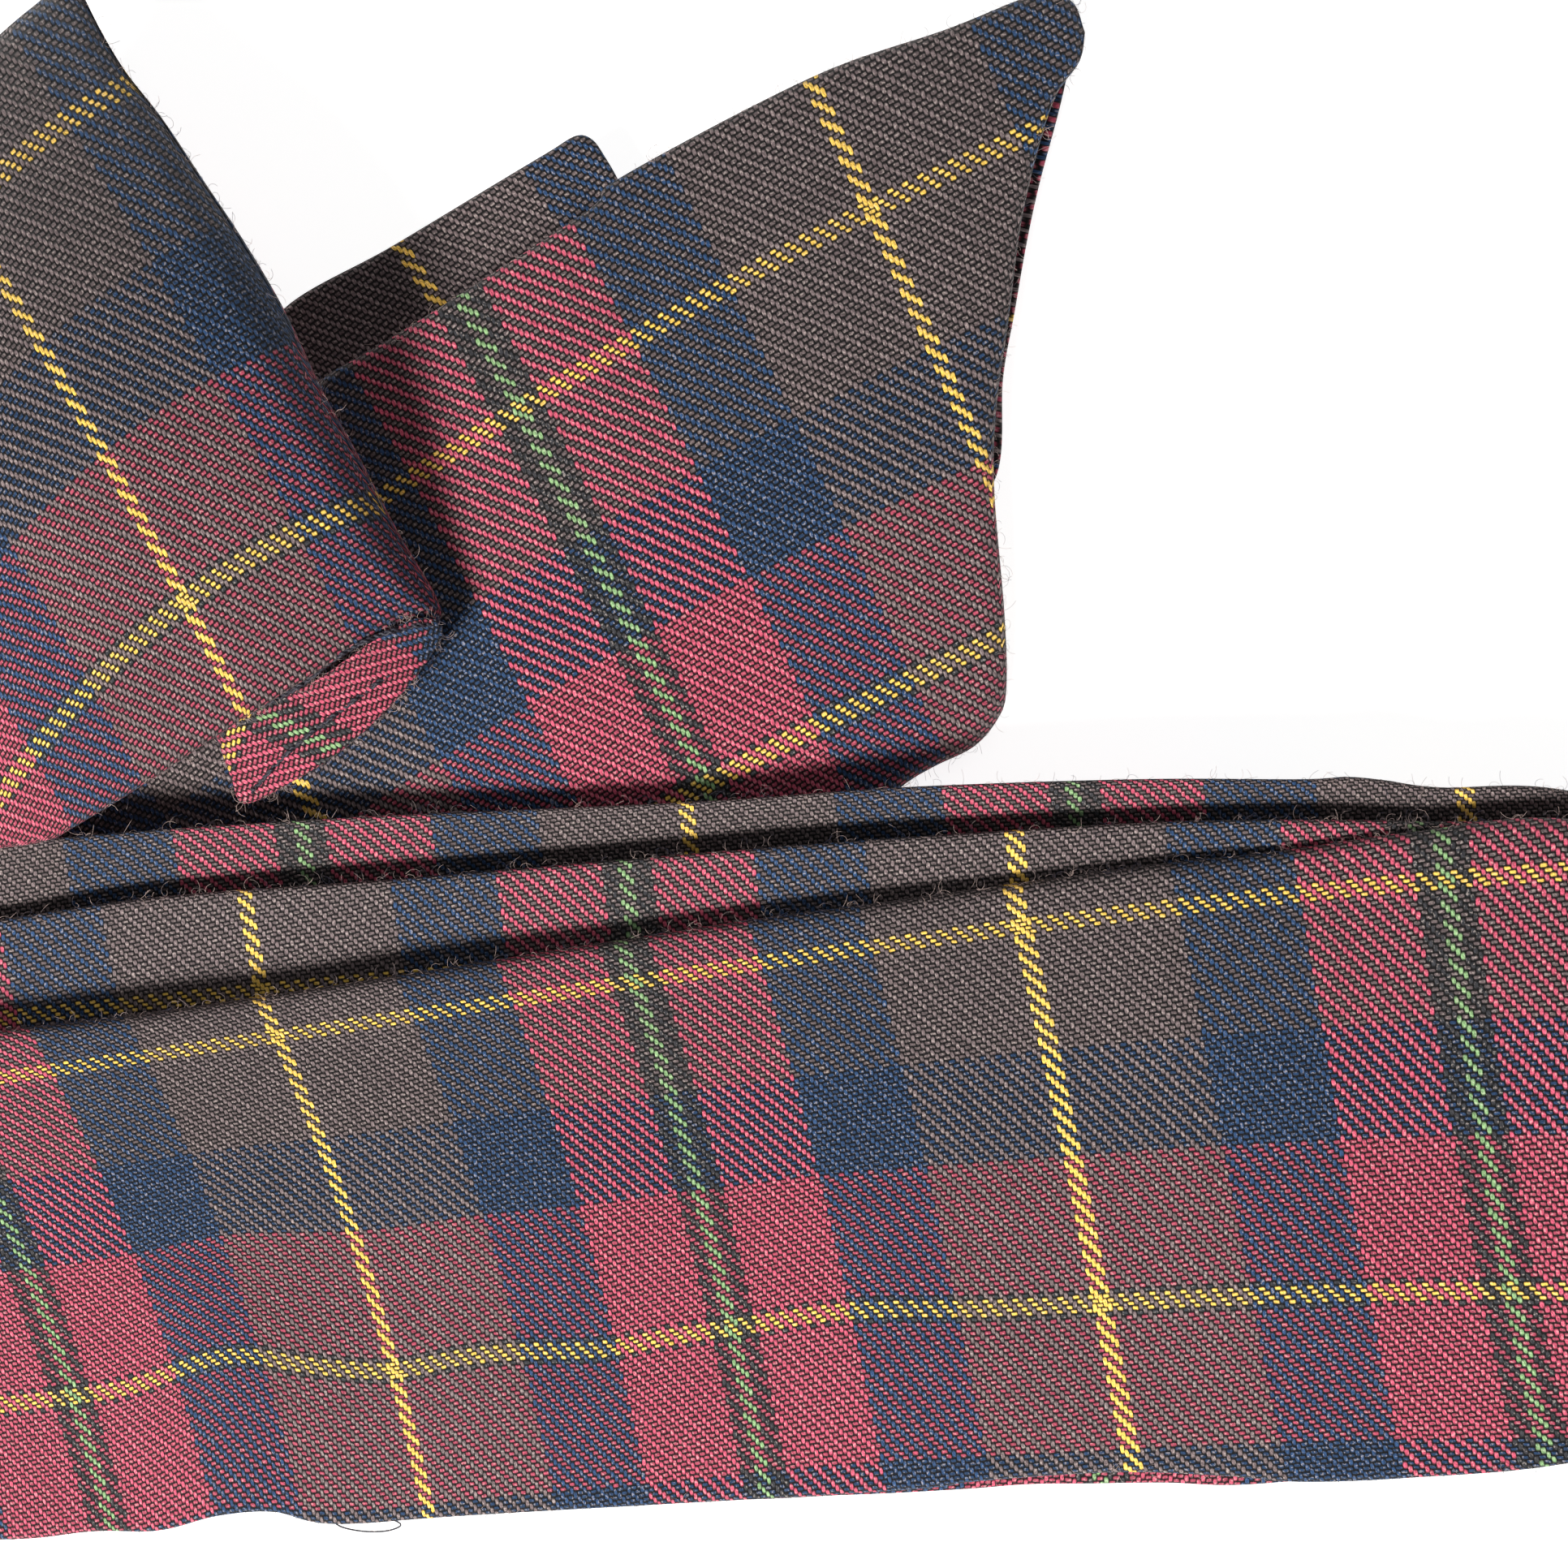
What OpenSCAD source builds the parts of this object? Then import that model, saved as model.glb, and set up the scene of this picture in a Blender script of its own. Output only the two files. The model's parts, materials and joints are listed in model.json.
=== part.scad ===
// Great Highland bagpipes lying flat: a bag in a cloth cover, five stocks, three drones,
// a blowpipe, a chanter and a ribbon. Millimetres, +Z up. The origin is the middle of the
// bag's flat resting face, +X runs towards the back of the bag and +Y along the bass drone.

/* [Bag] */
// Height of every pipe's axis above the resting face, which is the radius of the bass bell
pipe_z = 31; // [31:0.5:33]
// Thickness of the cover's cloth
cover_t = 1.5; // [1:0.1:1.8]
// Thickness of the bag's leather
leather_t = 3; // [2:0.1:3.5]
// Air between the cover and the leather
cover_gap = 0.3; // [0.3:0.1:0.6]
// Length of the zip in the cover's seam
zip_l = 220; // [120:5:230]

/* [Stocks] */
// Length of a stock
stock_l = 125; // [115:1:130]
// How much of a stock stands out of the bag
stock_out = 65; // [60:1:68]
// Outer radius of a stock
stock_r = 15.5; // [14.5:0.1:16]
// Radius of a stock's bore, which takes every tenon
stock_bore_r = 10.45; // [10:0.05:11]

/* [Joints] */
// Radial clearance of a hemped tenon or tuning pin in its socket
fit = 0.05; // [0.02:0.01:0.1]
// Radius of the bare wood under a tenon's hemp
tenon_r = 8.8; // [8.4:0.1:9.2]
// Length of a tuning pin
pin_l = 75; // [65:1:80]
// Radius of the bare wood of a tuning pin
pin_r = 7.8; // [7.4:0.1:8.2]
// Radius of a tuning socket
socket_r = 9; // [8.8:0.05:9.4]
// Depth of a tuning socket
socket_l = 82; // [80:1:90]
// Length of tuning pin that shows at rest
tuning_gap = 12; // [8:1:20]

/* [Drones] */
// Length of the bass drone's bottom joint between its tenon and its tuning pin
bass_bottom_l = 150; // [140:1:160]
// Length of the bass drone's middle joint without its tuning pin
bass_middle_l = 250; // [230:1:270]
// Length of the bass drone's top joint
bass_top_l = 290; // [270:1:310]
// Radius of the bass drone's bell
bass_bell_r = 31; // [28:0.5:31]
// Length of a tenor drone's bottom joint between its tenon and its tuning pin
tenor_bottom_l = 122; // [115:1:130]
// Length of a tenor drone's top joint
tenor_top_l = 260; // [240:1:280]
// Radius of a tenor drone's bell
tenor_bell_r = 26; // [24:0.5:28]

/* [Blowpipe and chanter] */
// Length of the blowpipe between its tenon and its mount
blowpipe_l = 190; // [180:1:240]
// Length of the mouthpiece
mouthpiece_l = 92; // [80:1:110]
// Length of the chanter below its stock
chanter_l = 330; // [320:1:340]
// Radius of the chanter's sole
sole_r = 28; // [25:0.5:30]
// Angle that the chanter's vents and finger holes face, from the front towards the floor
chanter_turn = 90; // [0:5:180]

/* [Ribbon] */
// Across the bag from the bass drone to the middle of the folded ribbon
ribbon_x = -190; // [-195:1:-185]
// Along the bass drone to the middle of the folded ribbon
ribbon_y = 345; // [340:1:350]
// Height of the gathered band where it starts, away from its knot
band_start_h = 10; // [8:0.5:12]
// Height of the gathered band where it meets its knot
band_end_h = 32; // [28:1:36]
// Height of the puffed wing
wing_h = 28; // [20:1:32]
// Height of the raised end
tail_h = 42; // [30:1:46]

/* [Hidden] */
$fn = 48;

wood_colour = [0.13, 0.09, 0.08];
ivory_colour = [0.90, 0.86, 0.76];
metal_colour = [0.78, 0.77, 0.74];
hemp_colour = [0.80, 0.68, 0.42];
cane_colour = [0.85, 0.72, 0.42];
leather_colour = [0.55, 0.38, 0.22];
tartan_colour = [0.58, 0.30, 0.34];
navy_colour = [0.20, 0.24, 0.34];
rubber_colour = [0.12, 0.12, 0.12];

// Where each stock crosses the bag's seam, and the way its pipe points: [x, y, degrees]
bass_at = [0, 125, 90];
middle_tenor_at = [84, 117, 83];
outer_tenor_at = [160, 94, 74];
blowpipe_at = [-133, 85, 150];
chanter_at = [-400, -78, 196];
stocks = [bass_at, middle_tenor_at, outer_tenor_at, blowpipe_at, chanter_at];

// Stations of the bag from its back end to the tip of its neck:
// [x, y, half width, height above the pipes' axes, depth below them, turn in degrees]
stations = [[280, -58, 14, 8, 8, 0],
            [272, -56, 44, 24, 22, 0],
            [252, -52, 68, 38, 34, 0],
            [230, -46, 80, 46, 42, 0],
            [170, -18, 108, 58, 46, 0],
            [90, -4, 122, 64, 46, 0],
            [0, 1, 127, 66, 46, 0],
            [-70, -8, 118, 62, 46, 0],
            [-120, -20, 106, 57, 46, 0],
            [-190, -36, 74, 46, 44, 4],
            [-250, -46, 48, 36, 36, 8],
            [-310, -56, 32, 28, 28, 12],
            [-355, -66, 26, 25, 25, 15],
            [-400, -78, 24, 24, 24, 16]];
seam_y = -126;
steps = 2;
around = 24;

tenon_l = 30;
hemp_r = stock_bore_r - fit;
pin_hemp_r = socket_r - fit;
mount_l = 15;
mount_seat_r = 10.4;
ferrule_l = 18;
ferrule_seat_r = 13;
ferrule_r = 14.8;
drone_bore_r = 4.2;
outlet_r = 5.5;
cap_l = 14;
reed_l = 70;
reed_r = 5;
reed_seat_r = 3.6;
reed_flat = 3.6;
tongue_t = 0.8;
bridle_r = 5.05;
bass_middle_at = bass_bottom_l + tuning_gap;
bass_top_at = bass_middle_at + bass_middle_l + tuning_gap;
tenor_top_at = tenor_bottom_l + tuning_gap;
zip_x = 50;
coil_t = 1.4;
tape_t = 1;

// Puts a pipe's own axis, +Z from the mouth of its stock, where the pipe lies
module along(at) {
  translate([at[0], at[1], pipe_z])
    rotate([0, 0, at[2]])
      rotate([0, 90, 0])
        translate([0, 0, stock_out])
          children();
}

// A turned piece from its outer and inner outlines, each a list of [radius, height]
module turned(outer, inner) {
  rotate_extrude()
    polygon(concat(outer, [for (i = [len(inner) - 1 : -1 : 0]) inner[i]]));
}

module ring(outer_r, inner_r, from, to) {
  turned([[outer_r, from], [outer_r, to]], [[inner_r, from], [inner_r, to]]);
}

// A half-round bead of the given size on a stem of radius r
function bead(r, at, size) =
  [for (i = [0 : 4]) [r + size * sin(45 * i), at - size * cos(45 * i)]];

// Fine grooves cut side by side, on a stem that tapers from r0 to r1
function combing(r0, r1, from, to, count, depth) =
  let (pitch = (to - from) / count)
    [for (i = [0 : count - 1])
      let (r = r0 + (r1 - r0) * i / count, z = from + pitch * i)
        each [[r, z], [r, z + pitch * 0.6], [r - depth, z + pitch * 0.8]]];

// Cubic through four stations, which keeps a straight seam straight
function spline(a, b, c, d, t) =
  0.5 * (2 * b + (c - a) * t + (2 * a - 5 * b + 4 * c - d) * t * t
         + (3 * b - a - 3 * c + d) * t * t * t);

function station(i, t) =
  let (last = len(stations) - 1)
    spline(stations[max(i - 1, 0)], stations[i],
           stations[min(i + 1, last)], stations[min(i + 2, last)], t);

function bag_rings() =
  concat([for (i = [0 : len(stations) - 2], k = [0 : steps - 1]) station(i, k / steps)],
         [stations[len(stations) - 1]]);

// One ring of the bag's skin, taken in by inset, and moved in by shift along the spine
function bag_ring(s, inset, shift) =
  [for (k = [0 : around - 1])
    let (angle = 360 * k / around,
         across = (s[2] - inset) * cos(angle),
         up = (sin(angle) > 0 ? s[3] - inset : s[4] - inset) * sin(angle))
      [s[0] - across * sin(s[5]) + shift * cos(s[5]),
       s[1] + across * cos(s[5]) + shift * sin(s[5]),
       max(pipe_z + up, inset)]];

// The bag as a smooth closed solid, taken in all over by inset
module bag_form(inset) {
  rings = bag_rings();
  last = len(rings) - 1;
  points = [for (i = [0 : last])
    each bag_ring(rings[i], inset, i == 0 ? -inset : i == last ? inset : 0)];
  sides = [for (i = [0 : last - 1], k = [0 : around - 1])
    let (a = i * around + k,
         b = i * around + (k + 1) % around,
         c = a + around,
         d = b + around)
      each [[a, b, c], [b, d, c]]];
  back = [for (k = [around - 1 : -1 : 0]) k];
  tip = [for (k = [0 : around - 1]) last * around + k];
  polyhedron(points, concat(sides, [back, tip]), convexity = 6);
}

module at_stocks() {
  for (at = stocks)
    along(at)
      children();
}

collar_from = -95;
bag_collar_r = 18.4;
bag_collar_to = -stock_out + 14;
cover_collar_r = 23.4;
cover_hole_r = 22;
cover_collar_to = -stock_out + 20;

module bag_cover() {
  color(tartan_colour)
    difference() {
      union() {
        bag_form(0);
        at_stocks()
          translate([0, 0, collar_from])
            cylinder(r = cover_collar_r, h = cover_collar_to - collar_from);
      }
      bag_form(cover_t);
      at_stocks()
        translate([0, 0, collar_from - 1])
          cylinder(r = cover_hole_r, h = cover_collar_to - collar_from + 2);
    }
}

module air_bag() {
  outside = cover_t + cover_gap;
  color(leather_colour)
    difference() {
      union() {
        bag_form(outside);
        at_stocks()
          translate([0, 0, collar_from])
            cylinder(r = bag_collar_r, h = bag_collar_to - collar_from);
      }
      bag_form(outside + leather_t);
      at_stocks()
        translate([0, 0, collar_from - 1])
          cylinder(r = stock_r, h = bag_collar_to - collar_from + 2);
    }
}

tape_w = 14;
coil_w = 4;
slider_l = 10;
slider_w = 8;
slider_t = 3.4;
slider_x = zip_x - zip_l / 2 + 8;
pull_l = 18;
pull_t = 1;
pull_w = 7;
eye_r = 1.6;
eye_gap = 0.2;
pull_pin_r = 0.9;
zip_face = seam_y - tape_t;
pull_y = zip_face - coil_t - slider_t - 0.8;

module zip_tape() {
  color(navy_colour) {
    translate([zip_x - zip_l / 2, zip_face, pipe_z - tape_w / 2])
      cube([zip_l, tape_t, tape_w]);
    translate([zip_x - zip_l / 2 + 2, zip_face - coil_t, pipe_z - coil_w / 2])
      cube([zip_l - 4, coil_t, coil_w]);
  }
}

// The slider straddles the coil, and carries a crossbar for the pull on two ears
module zip_slider() {
  gap = 0.15;
  color(metal_colour)
    difference() {
      union() {
        translate([slider_x, zip_face - coil_t - slider_t + 1, pipe_z - slider_w / 2])
          cube([slider_l, slider_t - 1 + coil_t - gap, slider_w]);
        for (side = [-1, 1])
          translate([slider_x + slider_l / 2 + side * 3.2 - 0.6, pull_y - 0.8, pipe_z - 1.2])
            cube([1.2, slider_t + 1.4, 2.4]);
        translate([slider_x + slider_l / 2 - 3.2, pull_y, pipe_z])
          rotate([0, 90, 0])
            cylinder(r = pull_pin_r, h = 6.4);
      }
      translate([slider_x - 1, zip_face - coil_t - gap, pipe_z - coil_w / 2 - gap])
        cube([slider_l + 2, coil_t + 1, coil_w + 2 * gap]);
    }
}

module zip_pull() {
  x = slider_x + slider_l / 2;
  color(metal_colour)
    difference() {
      union() {
        translate([x - 2.3, pull_y, pipe_z])
          rotate([0, 90, 0])
            cylinder(r = eye_r, h = 4.6);
        translate([x - 2.3, pull_y - eye_r, pipe_z - pull_l])
          cube([4.6, pull_t, pull_l]);
        translate([x - pull_w / 2, pull_y - eye_r, pipe_z - pull_l])
          cube([pull_w, pull_t, 9]);
      }
      translate([x - 4, pull_y, pipe_z])
        rotate([0, 90, 0])
          cylinder(r = pull_pin_r + 0.08, h = 8);
    }
}

// A stock: a plain tied-in end, a groove for the binding, and a turned outer end
module stock() {
  color(wood_colour)
    turned(concat([[stock_r - 1, -stock_l], [stock_r, -stock_l + 1.5],
                   [stock_r, -stock_out + 16]],
                  bead(stock_r, -stock_out + 20, 2),
                  combing(stock_r, stock_r, -stock_out + 24, -stock_out + 38, 6, 0.7),
                  bead(stock_r, -stock_out + 41, 2),
                  [[stock_r, -16], [ferrule_seat_r + 1, -16], [ferrule_seat_r + 1, -0.5],
                   [ferrule_seat_r + 0.5, 0]]),
           [[stock_bore_r, -stock_l], [stock_bore_r, 0]]);
}

module chanter_stock() {
  along(chanter_at)
    stock();
}

module blowpipe_stock() {
  along(blowpipe_at)
    stock();
}

module bass_stock() {
  along(bass_at)
    stock();
}

module middle_tenor_stock() {
  along(middle_tenor_at)
    stock();
}

module outer_tenor_stock() {
  along(outer_tenor_at)
    stock();
}

module stock_ferrules() {
  seat = ferrule_seat_r + 1;
  color(ivory_colour)
    at_stocks()
      turned([[17.2, -16], [17.8, -14], [16.8, -11.5], [16.8, -5], [17.8, -3],
              [17.8, -1], [16.8, 0]],
             [[seat, -16], [seat, 0]]);
}

module stock_bindings() {
  to = bag_collar_to - 2;
  color(hemp_colour)
    at_stocks()
      turned([[bag_collar_r, to - 8], [bag_collar_r + 1.6, to - 7], [bag_collar_r + 2, to - 4],
              [bag_collar_r + 1.6, to - 1], [bag_collar_r, to]],
             [[bag_collar_r, to - 8], [bag_collar_r, to]]);
}

// The bottom joint of a drone, or the middle one with its tenon left out: a tapering
// combed body, a seat for the mount and a bare tuning pin
function joint_body(from, length) =
  concat(bead(12.5, from + 7, 2.2),
         [[12.4, from + 12], [12, from + 20]],
         combing(12, 12.8, from + 20, from + 34, 6, 0.6),
         [[12.4, from + 36], [12, from + length * 0.5], [12.3, from + length - 52]],
         bead(12.3, from + length - 48, 1.8),
         combing(12.8, 13.6, from + length - 44, from + length - 24, 8, 0.7),
         bead(13.2, from + length - 20, 1.8),
         [[13, from + length - mount_l], [mount_seat_r, from + length - mount_l],
          [mount_seat_r, from + length - 0.5], [pin_r, from + length - 0.5]]);

function pin_end(from) =
  [[pin_r, from + pin_l - 34], [pin_r - 0.5, from + pin_l - 34],
   [pin_r - 0.5, from + pin_l - 4], [pin_r, from + pin_l - 4], [pin_r, from + pin_l]];

module bottom_joint(length) {
  color(wood_colour)
    turned(concat([[tenon_r, -tenon_l], [tenon_r, 0], [13.4, 0], [13.8, 2]],
                  joint_body(0, length),
                  pin_end(length)),
           [[reed_seat_r, -tenon_l], [reed_seat_r, -12], [drone_bore_r, -12],
            [drone_bore_r, length + pin_l]]);
}

module joint_mount(to) {
  from = to - mount_l;
  color(ivory_colour)
    turned([[13.2, from], [14, from + 1], [13.6, from + 3], [15.6, from + 5],
            [19, from + 6.6], [20, from + 7.6], [20, from + 9], [19, from + 10],
            [15.4, from + 11.4], [13.8, from + 13], [13.8, from + 14.6], [13.2, to]],
           [[mount_seat_r, from], [mount_seat_r, to]]);
}

// The hemp wound on a tenon and on a tuning pin
module tenon_hemp() {
  ring(hemp_r, tenon_r, -tenon_l + 2, -3);
}

module pin_hemp(from) {
  ring(pin_hemp_r, pin_r - 0.5, from + pin_l - 34, from + pin_l - 4);
}

module bottom_hemp(length) {
  color(hemp_colour) {
    tenon_hemp();
    pin_hemp(length);
  }
}

// A drone reed: a tube with a flat on one side, closed at its inner end
module reed() {
  color(cane_colour)
    difference() {
      turned([[reed_r - 1, -tenon_l - reed_l + 18], [reed_r, -tenon_l - reed_l + 19],
              [reed_r, -tenon_l], [reed_seat_r, -tenon_l], [reed_seat_r, -13]],
             [[0, -tenon_l - reed_l + 18], [0, -tenon_l - reed_l + 21],
              [2, -tenon_l - reed_l + 21], [2, -13]]);
      translate([-reed_r, reed_flat, -tenon_l - reed_l + 22])
        cube([2 * reed_r, reed_r, 44]);
      translate([-1, 0, -tenon_l - reed_l + 26])
        cube([2, reed_r, 26]);
    }
}

module reed_tongue() {
  color(ivory_colour)
    translate([-2.2, reed_flat, -tenon_l - reed_l + 23])
      cube([4.4, tongue_t, 42]);
}

module reed_bridle() {
  at = -tenon_l - reed_l + 56;
  color(rubber_colour)
    ring(bridle_r + 1.1, bridle_r, at, at + 3);
}

// The part of a joint that slides over a tuning pin: its body, ferrule seat and socket
function socket_head(from) =
  concat([[ferrule_seat_r, from], [ferrule_seat_r, from + ferrule_l],
          [14.6, from + ferrule_l]],
         bead(14.4, from + ferrule_l + 4, 2),
         combing(14.4, 14, from + ferrule_l + 8, from + ferrule_l + 24, 7, 0.7),
         bead(13.8, from + ferrule_l + 27, 1.8),
         [[13.6, from + ferrule_l + 30], [13, from + socket_l + 2]]);

module socket_ferrule(from) {
  color(metal_colour)
    turned([[ferrule_r, from], [ferrule_r + 0.5, from + 1], [ferrule_r, from + 2.4],
            [ferrule_r, from + ferrule_l - 2.4], [ferrule_r + 0.5, from + ferrule_l - 1],
            [ferrule_r, from + ferrule_l]],
           [[ferrule_seat_r, from], [ferrule_seat_r, from + ferrule_l]]);
}

module top_joint(from, length, bell_r) {
  bell = from + length - 74;
  chamber_r = bell_r * 0.5;
  color(wood_colour)
    turned(concat(socket_head(from),
                  [[11.8, from + length * 0.42], [11.8, bell - 38]],
                  bead(11.8, bell - 34, 1.8),
                  combing(12.2, 13.6, bell - 30, bell - 12, 7, 0.7),
                  bead(13.4, bell - 9, 1.6),
                  [for (i = [0 : 8])
                    [13 + (bell_r * 0.94 - 13) * (1 - cos(22.5 * i)) / 2, bell - 4 + 44 * i / 8]],
                  combing(bell_r * 0.94, bell_r * 0.94, bell + 41, bell + 54, 5, 0.8),
                  [[bell_r * 0.9, from + length - cap_l], [bell_r * 0.6, from + length - cap_l]]),
           [[socket_r, from], [socket_r, from + socket_l], [drone_bore_r + 0.8, from + socket_l],
            [drone_bore_r + 0.8, bell + 8], [chamber_r, bell + 18],
            [chamber_r, from + length - cap_l]]);
}

module top_cap(from, length, bell_r) {
  top = from + length;
  color(ivory_colour)
    turned([[bell_r * 0.94, top - cap_l], [bell_r, top - cap_l + 2], [bell_r, top - cap_l + 5],
            [bell_r * 0.93, top - cap_l + 8], [bell_r * 0.8, top - 3], [bell_r * 0.55, top - 1],
            [outlet_r + 2.5, top]],
           [[bell_r * 0.5, top - cap_l], [outlet_r, top - cap_l + 2], [outlet_r, top]]);
}

module bass_bottom_joint() {
  along(bass_at)
    bottom_joint(bass_bottom_l);
}

module bass_bottom_mount() {
  along(bass_at)
    joint_mount(bass_bottom_l);
}

module bass_bottom_hemp() {
  along(bass_at)
    bottom_hemp(bass_bottom_l);
}

module bass_reed() {
  along(bass_at)
    reed();
}

module bass_reed_tongue() {
  along(bass_at)
    reed_tongue();
}

module bass_reed_bridle() {
  along(bass_at)
    reed_bridle();
}

module bass_middle_joint() {
  from = bass_middle_at;
  to = from + bass_middle_l;
  color(wood_colour)
    along(bass_at)
      turned(concat(socket_head(from),
                    joint_body(from + socket_l + 2, bass_middle_l - socket_l - 2),
                    pin_end(to)),
             [[socket_r, from], [socket_r, from + socket_l], [drone_bore_r, from + socket_l],
              [drone_bore_r, to + pin_l]]);
}

module bass_middle_ferrule() {
  along(bass_at)
    socket_ferrule(bass_middle_at);
}

module bass_middle_mount() {
  along(bass_at)
    joint_mount(bass_middle_at + bass_middle_l);
}

module bass_middle_hemp() {
  color(hemp_colour)
    along(bass_at)
      pin_hemp(bass_middle_at + bass_middle_l);
}

module bass_top_joint() {
  along(bass_at)
    top_joint(bass_top_at, bass_top_l, bass_bell_r);
}

module bass_top_ferrule() {
  along(bass_at)
    socket_ferrule(bass_top_at);
}

module bass_top_cap() {
  along(bass_at)
    top_cap(bass_top_at, bass_top_l, bass_bell_r);
}

module middle_tenor_bottom_joint() {
  along(middle_tenor_at)
    bottom_joint(tenor_bottom_l);
}

module middle_tenor_mount() {
  along(middle_tenor_at)
    joint_mount(tenor_bottom_l);
}

module middle_tenor_hemp() {
  along(middle_tenor_at)
    bottom_hemp(tenor_bottom_l);
}

module middle_tenor_reed() {
  along(middle_tenor_at)
    reed();
}

module middle_tenor_reed_tongue() {
  along(middle_tenor_at)
    reed_tongue();
}

module middle_tenor_reed_bridle() {
  along(middle_tenor_at)
    reed_bridle();
}

module middle_tenor_top_joint() {
  along(middle_tenor_at)
    top_joint(tenor_top_at, tenor_top_l, tenor_bell_r);
}

module middle_tenor_ferrule() {
  along(middle_tenor_at)
    socket_ferrule(tenor_top_at);
}

module middle_tenor_cap() {
  along(middle_tenor_at)
    top_cap(tenor_top_at, tenor_top_l, tenor_bell_r);
}

module outer_tenor_bottom_joint() {
  along(outer_tenor_at)
    bottom_joint(tenor_bottom_l);
}

module outer_tenor_mount() {
  along(outer_tenor_at)
    joint_mount(tenor_bottom_l);
}

module outer_tenor_hemp() {
  along(outer_tenor_at)
    bottom_hemp(tenor_bottom_l);
}

module outer_tenor_reed() {
  along(outer_tenor_at)
    reed();
}

module outer_tenor_reed_tongue() {
  along(outer_tenor_at)
    reed_tongue();
}

module outer_tenor_reed_bridle() {
  along(outer_tenor_at)
    reed_bridle();
}

module outer_tenor_top_joint() {
  along(outer_tenor_at)
    top_joint(tenor_top_at, tenor_top_l, tenor_bell_r);
}

module outer_tenor_ferrule() {
  along(outer_tenor_at)
    socket_ferrule(tenor_top_at);
}

module outer_tenor_cap() {
  along(outer_tenor_at)
    top_cap(tenor_top_at, tenor_top_l, tenor_bell_r);
}

blowpipe_bore_r = 6.5;
mouth_tenon_l = 20;
mouth_r = 7;

module blowpipe() {
  to = blowpipe_l;
  color(wood_colour)
    along(blowpipe_at)
      turned(concat([[tenon_r, -tenon_l], [tenon_r, 0], [13.4, 0], [13.8, 2]],
                    bead(12.5, 7, 2.2),
                    [[12.4, 12], [11.6, 24]],
                    combing(11.6, 11.6, 24, 40, 7, 0.6),
                    [[11.4, 44], [11, to * 0.5], [11.8, to - 54]],
                    bead(11.8, to - 50, 1.8),
                    combing(12.4, 13.2, to - 46, to - 26, 8, 0.7),
                    bead(13, to - 22, 1.8),
                    [[12.8, to - mount_l], [mount_seat_r, to - mount_l], [mount_seat_r, to]]),
             [[blowpipe_bore_r, -tenon_l], [blowpipe_bore_r, to - mouth_tenon_l],
              [mouth_r, to - mouth_tenon_l], [mouth_r, to]]);
}

module blowpipe_mount() {
  along(blowpipe_at)
    joint_mount(blowpipe_l);
}

module blowpipe_hemp() {
  color(hemp_colour)
    along(blowpipe_at)
      tenon_hemp();
}

// The mouthpiece narrows to a plain round tip that a rubber mouth guard fits over
module mouthpiece() {
  from = blowpipe_l;
  to = from + mouthpiece_l;
  color(ivory_colour)
    along(blowpipe_at)
      turned(concat([[mouth_r, from - mouth_tenon_l + 0.5], [mouth_r, from]],
                    [[10, from], [11.4, from + 2], [11.4, from + 5]],
                    bead(10.4, from + 9, 1.8),
                    [[10, from + 14], [8, from + 30], [7, from + 55], [6.6, to - 22],
                     [6.6, to - 1], [6, to]]),
             [[4.5, from - mouth_tenon_l + 0.5], [4.5, to - 12], [3.6, to]]);
}

valve_from = -tenon_l;
valve_l = 8;
flap_t = 1.2;
flap_r = 6.2;
flap_pin_r = 0.5;
flap_barrel_r = 1.1;
flap_pin_x = 7.8;
flap_face = valve_from - valve_l;
flap_drop = 1.2;
flap_lift = 0.1;

// A rubber collar plugged into the blowpipe's inner end, which the flap closes
module valve_seat() {
  color(rubber_colour)
    along(blowpipe_at) {
      turned([[9, flap_face], [9, valve_from], [blowpipe_bore_r, valve_from],
              [blowpipe_bore_r, valve_from + 10]],
             [[4.6, flap_face], [4.6, valve_from + 10]]);
      for (side = [-1, 1])
        translate([flap_pin_x - 1.3, side * 3 - 0.8, flap_face - 2.4])
          cube([2.4, 1.6, 3]);
      translate([flap_pin_x, -3, flap_face - flap_drop])
        rotate([-90, 0, 0])
          cylinder(r = flap_pin_r, h = 6);
    }
}

module valve_flap() {
  color("dimgray")
    along(blowpipe_at)
      difference() {
        union() {
          translate([0, 0, flap_face - flap_lift - flap_t])
            cylinder(r = flap_r, h = flap_t);
          translate([0, -2, flap_face - flap_lift - flap_t])
            cube([flap_pin_x, 4, flap_t]);
          translate([flap_pin_x, -2, flap_face - flap_drop])
            rotate([-90, 0, 0])
              cylinder(r = flap_barrel_r, h = 4);
        }
        translate([flap_pin_x, -4, flap_face - flap_drop])
          rotate([-90, 0, 0])
            cylinder(r = flap_pin_r + 0.06, h = 8);
      }
}

// Finger holes from the top down, then the pair of vents: [height, radius, degrees]
finger_holes = [[92, 2.2, 0], [114, 2.5, 0], [136, 2.5, 0], [158, 2.6, 0],
                [182, 2.9, 0], [206, 2.9, 0], [230, 3, 0], [88, 2.3, 180],
                [272, 3, 90], [272, 3, -90]];
sole_l = 12;

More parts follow.
